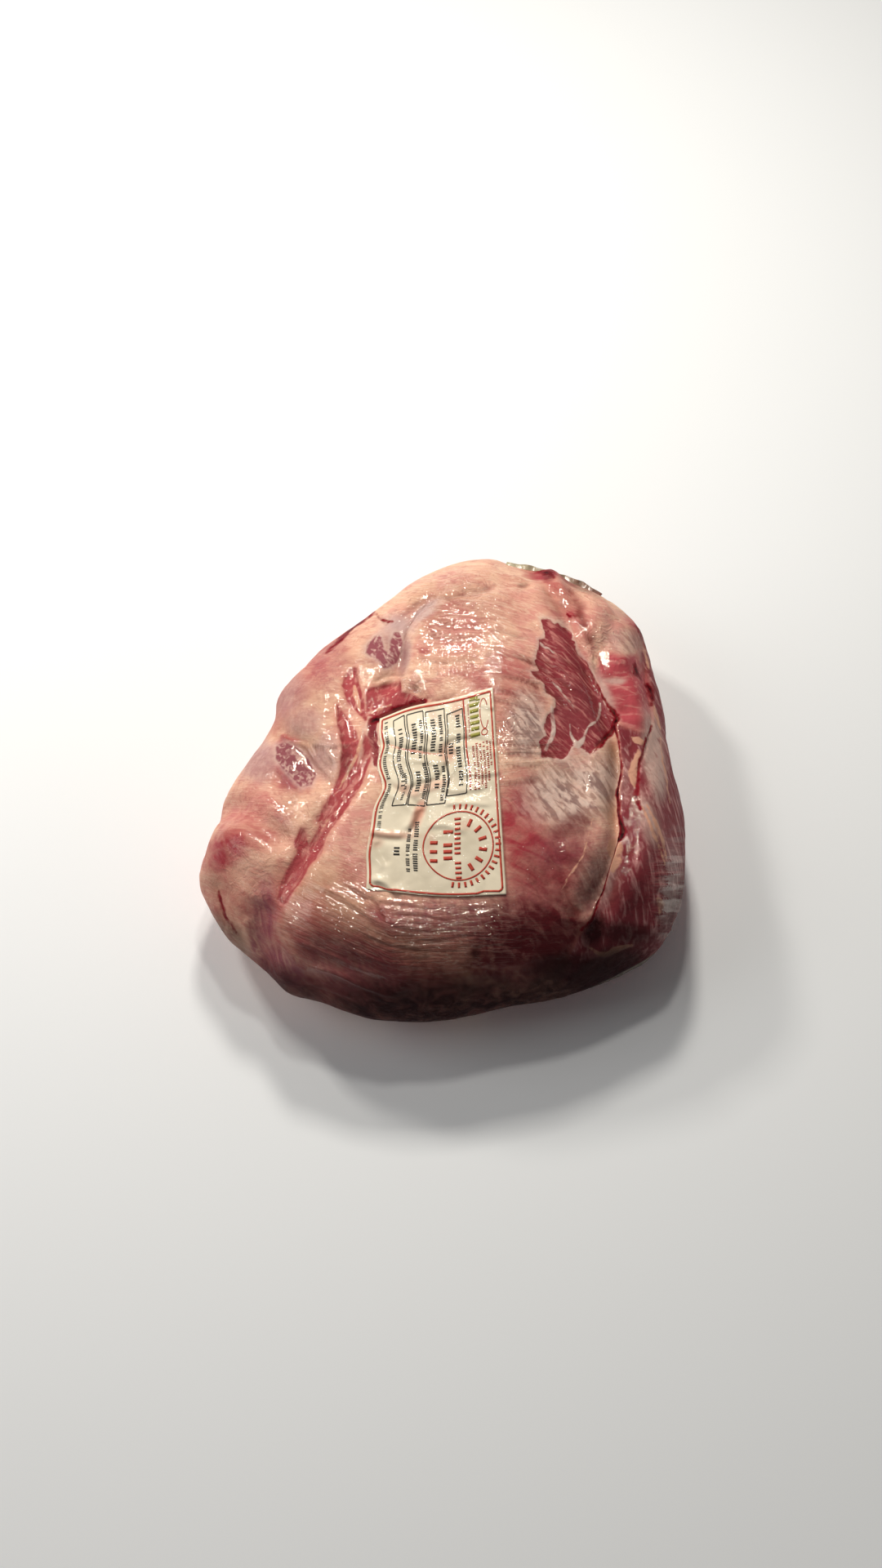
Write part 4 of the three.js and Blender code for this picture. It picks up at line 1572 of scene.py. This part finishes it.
FILM_FOLDS: tuple[Crease, ...] = (
    Crease(((598, 766), (625, 772), (658, 781)), 2.6, 0.9, Profile.FOLD),
    Crease(((600, 790), (630, 797), (664, 811)), 2.6, 0.9, Profile.FOLD),
    Crease(((600, 817), (628, 820), (650, 826), (668, 848)), 2.8, 1.1, Profile.FOLD),
    Crease(((602, 822), (640, 828), (680, 846), (707, 872)), 2.8, 1.2, Profile.FOLD),
    Crease(((600, 795), (650, 806), (690, 831), (717, 852)), 2.6, 1.0, Profile.FOLD),
    Crease(((600, 850), (640, 861), (668, 869)), 2.8, 1.0, Profile.FOLD),
    Crease(((604, 838), (630, 846), (652, 862)), 2.6, 0.8, Profile.FOLD),
    Crease(((660, 795), (684, 818), (708, 848)), 2.6, 0.8, Profile.FOLD),
    Crease(((682, 792), (706, 812), (730, 836)), 2.6, 0.8, Profile.FOLD),
    Crease(((606, 906), (640, 908), (690, 910)), 2.8, 1.0, Profile.FOLD),
    Crease(((610, 918), (645, 918), (685, 922)), 2.8, 1.0, Profile.FOLD),
    Crease(((612, 932), (640, 934), (676, 930)), 2.8, 0.9, Profile.FOLD),
    Crease(((600, 955), (625, 956), (660, 950)), 2.8, 0.7, Profile.FOLD),
    Crease(
        ((338, 896), (354, 906), (370, 911), (379, 916), (385, 928), (395, 940), (417, 962)),
        2.4, 1.6, Profile.ROUND, 0.1,
    ),
    Crease(((336, 934), (348, 953), (357, 967), (363, 984)), 2.4, 1.5, Profile.ROUND, 0.15),
    Crease(((379, 909), (398, 912), (418, 911), (446, 908)), 2.2, 0.8, Profile.FOLD),
    Crease(((396, 912), (404, 924), (414, 934)), 2.2, 0.8, Profile.FOLD),
    Crease(((375, 1182), (410, 1192), (450, 1210), (488, 1222)), 3.0, 1.0, Profile.FOLD),
    Crease(((372, 1200), (405, 1212), (440, 1224)), 2.8, 0.8, Profile.FOLD),
    Crease(((360, 1150), (395, 1165), (440, 1185), (480, 1198)), 2.8, 0.8, Profile.FOLD),
    Crease(((380, 1080), (415, 1096), (450, 1120), (478, 1140)), 2.8, 0.7, Profile.FOLD),
    Crease(((430, 1082), (443, 1092), (456, 1101)), 2.8, 1.2, Profile.FOLD),
    Crease(((452, 1097), (464, 1112), (474, 1132)), 2.8, -1.0, Profile.FOLD),
    Crease(((456, 1101), (490, 1105), (535, 1112)), 2.2, 0.6, Profile.FOLD),
    Crease(((545, 1104), (570, 1110), (604, 1106)), 2.2, 0.5, Profile.FOLD),
    Crease(((480, 1116), (520, 1119), (556, 1127)), 2.2, 0.6, Profile.FOLD),
    Crease(((566, 1120), (590, 1119), (612, 1112)), 2.2, 0.5, Profile.FOLD),
    Crease(((468, 1124), (496, 1135), (530, 1138)), 2.2, 0.5, Profile.FOLD),
    Crease(((505, 1148), (545, 1147), (590, 1140)), 2.2, 0.5, Profile.FOLD),
    Crease(((440, 1140), (480, 1155), (530, 1162)), 2.2, 0.6, Profile.FOLD),
    Crease(((420, 1160), (470, 1178), (520, 1184)), 2.2, 0.6, Profile.FOLD),
    Crease(((500, 835), (480, 832), (460, 840)), 3.0, 1.0, Profile.FOLD),
    Crease(((520, 772), (550, 778), (590, 776)), 3.4, 0.9, Profile.FOLD),
    Crease(((500, 800), (545, 806), (590, 800)), 3.4, 0.7, Profile.FOLD),
    Crease(((530, 756), (560, 762), (592, 764)), 3.4, 0.9, Profile.FOLD),
    Crease(((800, 1070), (818, 1072), (838, 1070)), 2.6, 1.3, Profile.ROUND, 0.3),
    Crease(((800, 1056), (818, 1056), (838, 1054)), 2.6, 1.0, Profile.ROUND, 0.3),
    Crease(((798, 1084), (816, 1086), (838, 1086)), 2.6, 1.2, Profile.ROUND, 0.3),
    Crease(((798, 1100), (816, 1102), (836, 1104)), 2.6, 1.2, Profile.ROUND, 0.3),
    Crease(((796, 1116), (814, 1120), (832, 1122)), 2.6, 1.1, Profile.ROUND, 0.3),
    Crease(((794, 1132), (812, 1136), (828, 1140)), 2.6, 1.0, Profile.ROUND, 0.3),
)
FLOW_BLOTS: tuple[Blot, ...] = (
    Blot((610, 800), (34, 80), 0.0, 1.0),
    Blot((650, 830), (60, 60), 20.0, 0.8),
    Blot((530, 1150), (150, 60), 0.0, 0.9),
    Blot((640, 918), (50, 26), 0.0, 1.0),
    Blot((580, 955), (60, 50), 0.0, 0.8),
    Blot((820, 1090), (30, 80), 0.0, 0.8),
    Blot((560, 755), (70, 64), 0.0, 0.8),
    Blot((400, 1130), (90, 60), 20.0, 0.7),
)
GLINT_BLOTS: tuple[Blot, ...] = (
    Blot((560, 752), (66, 56), -15.0, 1.0),
    Blot((606, 795), (12, 60), 0.0, 1.0),
    Blot((622, 900), (16, 40), 0.0, 0.7),
    Blot((600, 955), (56, 30), 0.0, 0.5),
    Blot((440, 815), (28, 16), 20.0, 0.7),
    Blot((505, 836), (16, 24), -15.0, 0.6),
    Blot((693, 752), (10, 24), -20.0, 1.0),
    Blot((740, 808), (9, 11), 0.0, 1.0),
    Blot((705, 870), (40, 40), 30.0, 0.6),
    Blot((375, 925), (48, 32), 30.0, 0.45),
    Blot((354, 985), (16, 30), 0.0, 0.5),
    Blot((440, 1092), (28, 14), 0.0, 1.0),
    Blot((400, 1120), (60, 44), 20.0, 0.6),
    Blot((530, 1125), (120, 34), 0.0, 0.4),
    Blot((794, 1036), (14, 30), 0.0, 0.7),
    Blot((820, 1090), (22, 64), 0.0, 1.0),
    Blot((735, 780), (10, 16), 0.0, 1.0),
    Blot((330, 860), (60, 40), 0.0, 0.3),
    Blot((430, 1200), (90, 28), 12.0, 0.6),
    Blot((268, 1035), (40, 30), 0.0, 0.3),
)
CRUMPLE_BLOTS: tuple[Blot, ...] = (
    Blot((560, 735), (70, 50), -10.0, 1.0),
    Blot((560, 800), (70, 60), 0.0, 0.7),
    Blot((440, 822), (30, 16), 0.0, 1.0),
    Blot((508, 838), (16, 26), -20.0, 1.0),
    Blot((735, 790), (30, 46), 0.0, 0.9),
    Blot((620, 890), (30, 20), 0.0, 0.8),
    Blot((370, 920), (30, 24), 0.0, 0.15),
    Blot((560, 960), (80, 60), 0.0, 0.5),
    Blot((490, 745), (40, 30), 0.0, 0.9),
    Blot((700, 725), (40, 24), 30.0, 0.7),
    Blot((350, 1010), (80, 80), 0.0, 0.4),
    Blot((300, 1060), (60, 70), 0.0, 0.5),
)


@dataclass
class Film:
    """The clear film shrunk over meat and label.

    Attributes:
        gap: Clearance over the meat, in mm.
        label_gap: Clearance over the label, in mm.
        bridging: Smoothing steps by which it spans what lies below.
        slack: Height of its own crumples, in mm.
        swells: Length, width and height in mm of its broader waves, and what picks their pattern.
        taut: Gloss where it clings, as a share of its gloss where it wrinkles.
        rear_gloss: The same share on the other sides.
        steep_gloss: Share of its gloss that it keeps on upright walls.
        shade_loss: Share of its gloss that it loses over the meat's painted shade and over seams.
        least_flow, least_crumple: Share of its wrinkles and crumples that it has everywhere.
        rear_crumple: What the other sides add to its crumples.
        crimps: Where its right edge is gathered.
        floor: Lowest that it reaches over the floor, in mm.
    """

    ground: Ground
    meat: Meat
    sheet: LabelSheet
    finish: FilmFinish = field(default_factory=FilmFinish)
    gap: float = 0.3
    label_gap: float = 0.45
    bridging: int = 8
    slack: float = 0.4
    swells: tuple[tuple[float, float, float, int], ...] = ((36.0, 5.0, 0.7, 31), (44.0, 12.0, 1.6, 32))
    taut: float = 0.12
    rear_gloss: float = 0.6
    steep_gloss: float = 0.06
    shade_loss: float = 0.85
    least_flow: float = 0.12
    least_crumple: float = 0.25
    rear_crumple: float = 0.3
    crimps: Blot = Blot((824, 1095), (20, 84), 4.0)
    floor: float = 0.05

    def build(self) -> bpy.types.Object:
        """Make the piece."""
        ground = self.ground
        spots, shown = ground.spots, ground.shown
        spanned = ground.smoothed(self.meat.heights, self.bridging)
        crumple = blot_weights(CRUMPLE_BLOTS, spots) * shown
        flow = blot_weights(FLOW_BLOTS, spots) * shown
        rear = 1.0 - shown
        own = sum(fold.heights(spots) for fold in FILM_FOLDS) * shown
        stream = stream_places(spots)
        for length, width, height, seed in self.swells:
            noise = lattice_noise(stream / np.array((length, width)), 1.0, seed)
            own = own + height * (0.5 + 0.5 * noise) * flow
        stretched = ground.places / np.array((1.0, 1.0, 3.0))
        own = own + self.slack * (0.3 + crumple + rear) * np.abs(layered_noise(stretched, 9.0, 21))
        heights = np.maximum(spanned, self.meat.heights) + self.gap + np.maximum(own, 0.0)
        sheet_depth = outline_depth(spots, self.sheet.outline())
        over = smooth_step(sheet_depth, -5.0, -1.5) * shown
        lifts = self.sheet.lift + self.sheet.thickness + self.label_gap + self.sheet.crumple.heights(spots)
        places = ground.raised(heights * (1.0 - over), self.floor)
        places = places + VIEW.toward_eye(places) * (over * lifts)[:, None]
        places[:, 2] = np.maximum(places[:, 2], self.floor)
        mesh = ground.mesh.copy()
        mesh.name = "film"
        store_places(mesh, places)
        paint(mesh, "flow", self.least_flow + (1.0 - self.least_flow) * flow)
        even = self.least_crumple + (1.0 - self.least_crumple) * crumple
        paint(mesh, "crumple", even + self.rear_crumple * rear)
        glints = blot_weights(GLINT_BLOTS, spots) * shown + self.rear_gloss * rear
        taut = self.taut + (1.0 - self.taut) * glints
        upward = smooth_step(ground.normals[:, 2], 0.15, 0.7)
        upward = self.steep_gloss + (1.0 - self.steep_gloss) * upward
        seam = smooth_step(self.meat.paints[Tissue.SEAM], -4.0, 1.0)
        # Less gloss over the painted shade and the seams, so that the painted shade stays dark.
        dull = self.shade_loss * np.maximum(self.meat.paints[Tissue.PAINTED_SHADE], seam)
        paint(mesh, "gloss", taut * upward * (1.0 - dull))
        paint(mesh, "crimp", self.crimps.weight(spots) * shown)
        paint_stream(mesh, spots)
        piece = new_piece("film", mesh, self.finish.material())
        place_piece(piece, CadNode.CLOD)
        return piece


INKS = (
    InkFinish(Ink.RED, tone(186, 52, 30), tone(205, 92, 64)),
    InkFinish(Ink.BLACK, tone(34, 32, 30), tone(84, 78, 68)),
    InkFinish(Ink.OLIVE, tone(150, 146, 50), tone(176, 170, 92)),
)


@dataclass(frozen=True)
class Rule:
    """A printed line through corners, in mm from the label's near left corner.

    Attributes:
        corners: Places that it passes, in order.
        width: Of the line, in mm.
        closed: Whether it returns to its start.
    """

    corners: tuple[Spot, ...]
    width: float
    closed: bool = False

    def paths(self) -> list[tuple[np.ndarray, float]]:
        """Return the paths and widths of its ribbons."""
        corners = np.array(self.corners + self.corners[:1] * self.closed, float)
        return [(corners[k : k + 2], self.width) for k in range(len(corners) - 1)]


@dataclass(frozen=True)
class Ring:
    """A printed arc of an oval.

    Attributes:
        middle: Its centre, in mm.
        radii: Half width and half height, in mm.
        start, end: The angles that it spans, in degrees.
        width: Of the line, in mm.
    """

    middle: Spot
    radii: Spot
    width: float
    start: float = 0.0
    end: float = 360.0

    def paths(self) -> list[tuple[np.ndarray, float]]:
        """Return the path and width of its ribbon."""
        angles = np.radians(np.linspace(self.start, self.end, 73))
        turns = np.stack((np.cos(angles), np.sin(angles)), axis=1)
        return [(np.array(self.middle) + turns * np.array(self.radii), self.width)]


@dataclass(frozen=True)
class BarColumn:
    """Plain bars in a column, in place of small print.

    Attributes:
        across: The column's middle, in mm from the left edge.
        start, end: Where it begins and ends along the label, in mm.
        tall: Length of a bar across the column, in mm.
        pitch: Distance between bars, in mm.
        bold: Share of the pitch that a bar takes.
        seed: Picks where the gaps between groups fall.
    """

    across: float
    start: float
    end: float
    tall: float
    pitch: float = 1.7
    bold: float = 0.5
    seed: int = 1

    def paths(self) -> list[tuple[np.ndarray, float]]:
        """Return the paths and widths of its ribbons."""
        chance = np.random.default_rng(self.seed)
        out = []
        for along in np.arange(self.start, self.end, self.pitch):
            reach = 0.6 * self.tall * chance.uniform(0.8, 1.0)
            gap = chance.random() < 0.14
            if not gap:
                bar = np.array(((self.across - reach, along), (self.across + reach, along)))
                out.append((bar, self.pitch * self.bold * 1.15))
        return out


@dataclass(frozen=True)
class BarArc:
    """Plain bars set round an arc.

    Attributes:
        middle: Centre of the arc, in mm.
        radius: Of the bars' middles, in mm.
        start, end: The angles that it spans, in degrees.
        count: Number of bars.
        tall: Their length along the radius, in mm.
        wide: Their width, in mm.
    """

    middle: Spot
    radius: float
    start: float
    end: float
    count: int
    tall: float
    wide: float

    def paths(self) -> list[tuple[np.ndarray, float]]:
        """Return the paths and widths of its ribbons."""
        out = []
        for angle in np.radians(np.linspace(self.start, self.end, self.count)):
            outward = np.array((math.cos(angle), math.sin(angle)))
            reach = np.array((-0.5, 0.5)) * self.tall + self.radius
            out.append((np.array(self.middle) + outward * reach[:, None], self.wide))
        return out


BORDER = (
    (2.5, 147.5), (97.5, 147.5), (97.5, 4.5), (95.5, 2.5), (84.0, 3.0), (79.0, 1.6), (14.0, 1.8),
    (9.0, 3.4), (4.5, 3.2), (2.5, 5.5),
)
SEAL = (67.0, 38.0)

PRINT: dict[Ink, tuple[Rule | Ring | BarColumn | BarArc, ...]] = {
    Ink.RED: (
        Rule(BORDER, 1.5, True),
        Rule(((73.7, 147.5), (74.6, 118.0), (76.3, 79.0)), 1.3),
        Ring(SEAL, (25.8, 25.8), 1.1),
        BarArc(SEAL, 29.6, 96.0, -100.0, 23, 4.2, 1.7),
        BarArc(SEAL, 18.6, 62.0, -62.0, 6, 6.0, 2.6),
        BarColumn(66.5, 14.0, 61.0, 4.2, 3.7, 0.42, 3),
        BarColumn(59.4, 29.0, 50.0, 6.4, 5.0, 0.5, 12),
        BarColumn(49.0, 27.0, 50.0, 5.4, 7.0, 0.34, 12),
        BarColumn(80.5, 79.0, 112.0, 1.6, 1.5, 0.45, 5),
        BarColumn(83.4, 79.0, 113.0, 1.6, 1.5, 0.45, 6),
        BarColumn(86.3, 81.0, 112.0, 1.6, 1.5, 0.45, 7),
        BarColumn(89.2, 79.0, 113.0, 1.6, 1.5, 0.45, 8),
        BarColumn(92.1, 84.0, 113.0, 1.6, 1.5, 0.45, 9),
        BarColumn(94.6, 95.0, 113.0, 1.3, 1.5, 0.45, 10),
        BarColumn(77.6, 117.0, 143.0, 1.1, 1.2, 0.4, 11),
        Ring((91.0, 133.0), (3.4, 11.0), 0.7, 30.0, 330.0),
        Ring((90.5, 119.5), (2.6, 2.2), 0.7),
    ),
    Ink.BLACK: (
        Rule(((12.6, 143.0), (22.0, 144.6), (25.6, 71.4), (14.4, 71.4)), 0.85, True),
        Rule(((24.1, 144.0), (38.4, 144.4), (40.5, 69.6), (26.9, 71.0)), 0.85, True),
        Rule(((40.6, 143.0), (57.0, 143.6), (56.5, 71.4), (41.8, 70.4)), 0.85, True),
        Rule(((59.1, 138.6), (72.6, 140.6), (73.2, 77.4), (57.2, 76.6)), 0.85, True),
        BarColumn(18.0, 88.0, 137.0, 3.0, 1.7, 0.5, 21),
        BarColumn(20.5, 76.0, 98.0, 1.8, 1.5, 0.45, 22),
        BarColumn(30.0, 112.0, 138.0, 3.6, 2.1, 0.5, 23),
        BarColumn(36.0, 108.0, 138.0, 2.4, 1.7, 0.5, 24),
        BarColumn(31.5, 80.0, 98.0, 3.6, 2.1, 0.5, 25),
        BarColumn(38.0, 76.0, 104.0, 2.4, 1.7, 0.5, 26),
        BarColumn(46.5, 113.0, 137.0, 3.6, 2.1, 0.5, 27),
        BarColumn(53.0, 108.0, 140.0, 2.6, 1.7, 0.5, 28),
        BarColumn(47.5, 84.0, 102.0, 3.6, 2.1, 0.5, 29),
        BarColumn(53.5, 74.0, 100.0, 2.6, 1.7, 0.5, 30),
        BarColumn(68.0, 82.0, 137.0, 3.2, 2.0, 0.5, 31),
        BarColumn(62.0, 109.0, 116.0, 3.4, 2.2, 0.5, 32),
        BarColumn(6.2, 52.0, 145.0, 2.6, 1.7, 0.45, 33),
        BarColumn(35.5, 19.0, 58.0, 3.0, 1.8, 0.5, 34),
        BarColumn(30.0, 18.0, 52.0, 2.4, 1.6, 0.5, 35),
        BarColumn(22.0, 31.0, 44.0, 4.0, 2.6, 0.5, 37),
    ),
    Ink.OLIVE: (
        BarColumn(82.6, 119.0, 146.0, 7.0, 4.4, 0.5, 41),
        BarColumn(86.4, 142.0, 146.0, 3.0, 2.0, 0.5, 42),
    ),
}


@dataclass
class Label:
    """The paper label and its plain print.

    Attributes:
        sheet: The surface that it takes up.
        stains: Where the paper is stained, in pixels.
        ink_lift: Of the ink's lower side over the paper, in mm.
        ink_thickness: Of the ink, in mm.
        ink_step: Length of a ribbon's cells, in mm.
    """

    sheet: LabelSheet
    paper: PaperFinish = field(default_factory=PaperFinish)
    stains: tuple[Blot, ...] = (
        Blot((512, 998), (8, 26), 20.0, 0.9),
        Blot((548, 922), (12, 14), 0.0, 0.7),
        Blot((500, 968), (20, 8), 20.0, 0.5),
        Blot((530, 962), (26, 8), -16.0, 0.5),
        Blot((560, 868), (10, 14), 20.0, 0.5),
        Blot((480, 1022), (40, 6), 2.0, 0.6),
        Blot((460, 1030), (12, 10), 0.0, 0.4),
        Blot((528, 1035), (8, 18), 0.0, 0.25),
        Blot((570, 1010), (10, 8), 0.0, 0.3),
        Blot((528, 870), (6, 20), -20.0, 0.3),
    )
    ink_lift: float = 0.15
    ink_thickness: float = 0.06
    ink_step: float = 1.3

    def build(self) -> None:
        """Make the paper and its print."""
        self._build_paper()
        for finish in INKS:
            self._build_print(finish)

    def _build_print(self, finish: InkFinish) -> None:
        """Lay all marks of one ink on the paper."""
        made = bmesh.new()
        for mark in PRINT[finish.ink]:
            for path, width in mark.paths():
                self._lay(made, path, width)
        name = f"print_{finish.ink.value}"
        piece = solid_piece(name, made, -self.ink_thickness, finish.material())
        place_piece(piece, CadNode.LABEL)

    def _lay(self, made: bmesh.types.BMesh, path: np.ndarray, width: float) -> None:
        """Lay a ribbon of ink along a path.

        Args:
            made: Mesh that takes the ribbon.
            path: Points in mm from the label's near left corner.
            width: Of the ribbon, in mm.
        """
        lengths = np.concatenate(((0.0,), np.cumsum(np.linalg.norm(np.diff(path, axis=0), axis=1))))
        count = max(1, round(lengths[-1] / self.ink_step))
        even = np.linspace(0.0, lengths[-1], count + 1)
        middle = np.stack([np.interp(even, lengths, path[:, k]) for k in (0, 1)], axis=1)
        ahead = np.gradient(middle, axis=0)
        side = unit(np.stack((-ahead[:, 1], ahead[:, 0]), axis=1))
        grid = bmesh.ops.create_grid(made, x_segments=count, y_segments=1, size=0.5)["verts"]
        flat = np.array([v.co[:2] for v in grid])
        row = np.rint((flat[:, 0] + 0.5) * count).astype(int)
        places = middle[row] + side[row] * (flat[:, 1] * width)[:, None]
        points = self.sheet.at(places, self.sheet.thickness + self.ink_lift)
        for vert, point in zip(grid, points):
            vert.co = point

    def _build_paper(self) -> None:
        """Make the sheet of paper."""
        made = bmesh.new()
        across, along = self.sheet.cells
        bmesh.ops.create_grid(made, x_segments=across, y_segments=along, size=0.5)
        flat = np.array([v.co[:2] for v in made.verts]) + 0.5
        points = self.sheet.at(flat * np.array(self.sheet.size), 0.0)
        for vert, point in zip(made.verts, points):
            vert.co = point
        piece = solid_piece("label_sheet", made, -self.sheet.thickness, self.paper.material())
        places = np.array([v.co[:] for v in piece.data.vertices]) / MM
        paint(piece.data, "stain", blot_weights(self.stains, VIEW.pixels(places)))
        place_piece(piece, CadNode.LABEL)


@dataclass
class BagFin:
    """Gathered film that stands off the lump as a low pleated fin.

    Attributes:
        name: Of the piece.
        angles: Plan degrees at which it starts and ends.
        levels: Heights of its root there, in mm.
        stand: Height of the fin in its middle, in mm.
        tip_share: Height at either end, as a share of that.
        root: How deep it starts inside the lump, in mm.
        lean: How far its edge leans down the lump, in mm.
        pleats: Number of its pleats.
        pleat: Their depth, in mm.
        thickness: Of the film there, in mm.
        deep: Shares of brown at its start and end.
    """

    ground: Ground
    name: str
    angles: Spot
    levels: Spot
    stand: float
    finish: GatherFinish
    deep: Spot = (1.0, 0.0)
    tip_share: float = 0.4
    root: float = 1.5
    lean: float = 3.0
    pleats: float = 6.0
    pleat: float = 1.1
    thickness: float = 0.8
    cells: tuple[int, int] = (84, 8)
    seed: int = 51

    def build(self) -> None:
        """Make the piece."""
        made = bmesh.new()
        long, tall = self.cells
        grid = bmesh.ops.create_grid(made, x_segments=long, y_segments=tall, size=0.5)["verts"]
        shares = np.array([v.co[:2] for v in grid]) + 0.5
        across, along = shares.T
        columns = {share: self._column(share) for share in np.unique(across)}
        ripple = lattice_noise(np.stack((across * 22.0, across), axis=1), 1.0, self.seed)
        ragged = 1.0 + 0.25 * lattice_noise(np.stack((across * 9.0, across), axis=1), 1.0, self.seed + 1)
        size = self.tip_share + (1.0 - self.tip_share) * np.sin(np.pi * across)
        for vert, a, b, wave, rough, tall in zip(grid, across, along, ripple, ragged, size):
            hit, outward, down = columns[a]
            reach = -self.root + (self.stand * tall * rough + self.root) * b
            sway = self.lean + self.pleat * (math.sin(math.tau * self.pleats * a) + wave)
            vert.co = hit + outward * reach + down * (sway * b)
        piece = solid_piece(self.name, made, self.thickness, self.finish.material())
        places = np.array([v.co[:2] for v in piece.data.vertices]) / MM - np.array(self.ground.centre)
        angles = np.degrees(np.arctan2(places[:, 1], places[:, 0]))
        paint(piece.data, "deep", np.interp(angles, self.angles, self.deep))
        place_piece(piece, CadNode.CLOD)

    def _column(self, share: float) -> tuple[Vector, Vector, Vector]:
        """Return the fin's root, outward and downward directions at a share of its length."""
        angle = math.radians(self.angles[0] + share * (self.angles[1] - self.angles[0]))
        level = self.levels[0] + share * (self.levels[1] - self.levels[0])
        outward = Vector((math.cos(angle), math.sin(angle), 0.0))
        start = Vector((*self.ground.centre, level)) + outward * 400.0
        hit, normal = self.ground.tree.ray_cast(start, -outward)[:2]
        down = -(Vector((0.0, 0.0, 1.0)) - normal * normal.z).normalized()
        return hit, normal, down


@dataclass
class Studio:
    """Floor, lights and camera, in metres.

    Attributes:
        floor_size: Half the floor's side.
        floor_drop: How far it lies below the clod, so that the two don't touch.
        room: Strength of the even light from all round.
        sight: How far the camera sees.
    """

    floor_size: float = 3.0
    floor_drop: float = 0.0004
    room: float = 0.12
    sight: float = 20.0

    def build(self) -> None:
        """Set up everything that isn't the object."""
        self._floor()
        self._camera()
        self._lamp("key", (-0.05, 0.92, 1.2), 0.2, 11.0, (1.0, 0.94, 0.84))
        self._lamp("top", (0.0, 0.45, 1.45), 0.12, 3.5, (1.0, 0.95, 0.86))
        self._lamp("rim", (-0.85, 0.80, 1.05), 0.2, 8.0, (1.0, 0.94, 0.84))
        self._lamp("fill", (-1.5, -0.1, 1.2), 1.2, 8.0, (1.0, 0.96, 0.92))
        world = bpy.data.worlds.new("room")
        world.use_nodes = True
        background = world.node_tree.nodes["Background"]
        background.inputs["Color"].default_value = (1.0, 0.98, 0.95, 1.0)
        background.inputs["Strength"].default_value = self.room
        bpy.context.scene.world = world
        bpy.context.scene.view_settings.view_transform = "Standard"

    def _floor(self) -> None:
        """Lay the floor."""
        made = bmesh.new()
        bmesh.ops.create_grid(made, x_segments=1, y_segments=1, size=self.floor_size)
        bmesh.ops.translate(made, vec=(0.0, 0.0, -self.floor_drop), verts=made.verts)
        mesh = bpy.data.meshes.new("floor")
        made.to_mesh(mesh)
        made.free()
        new_piece("floor", mesh, FloorFinish().material())

    @staticmethod
    def _aimed(place: Vector, target: Vector) -> Matrix:
        """Return the turn and place of a lamp or camera that looks from place at target."""
        turn = (target - place).to_track_quat("-Z", "Y").to_matrix().to_4x4()
        return Matrix.Translation(place) @ turn

    def _camera(self) -> None:
        """Put the camera at the eye."""
        data = bpy.data.cameras.new("camera")
        data.lens = VIEW.lens
        data.sensor_width = VIEW.sensor
        data.clip_end = self.sight
        camera = bpy.data.objects.new("camera", data)
        bpy.context.scene.collection.objects.link(camera)
        camera.matrix_world = self._aimed(Vector(VIEW.eye * MM), Vector(VIEW.aim) * MM)
        bpy.context.scene.camera = camera

    def _lamp(self, name: str, place: Sequence[float], size: float, power: float, colour: Tone) -> None:
        """Hang a square lamp that shines at the clod."""
        data = bpy.data.lights.new(name, "AREA")
        data.size = size
        data.energy = power
        data.color = colour
        lamp = bpy.data.objects.new(name, data)
        bpy.context.scene.collection.objects.link(lamp)
        lamp.matrix_world = self._aimed(Vector(place), Vector(VIEW.aim) * MM)


def main() -> None:
    """Build the clod and its studio."""
    logging.basicConfig(level=logging.INFO, format="%(name)s %(message)s")
    ground = Ground()
    sheet = LabelSheet(ground)
    meat = Meat(ground, sheet)
    meat.build()
    Label(sheet).build()
    Film(ground, meat, sheet).build()
    tail = GatherFinish("gathered_tail")
    BagFin(ground, "film_tail", (52.0, 75.0), (78.5, 78.5), 4.2, tail).build()
    hem = GatherFinish("gathered_hem", tone(150, 146, 132), tone(88, 70, 60))
    BagFin(ground, "film_hem", (-54.0, -28.0), (26.0, 30.0), 3.6, hem, (0.8, 0.2)).build()
    Studio().build()


if __name__ == "__main__":
    main()
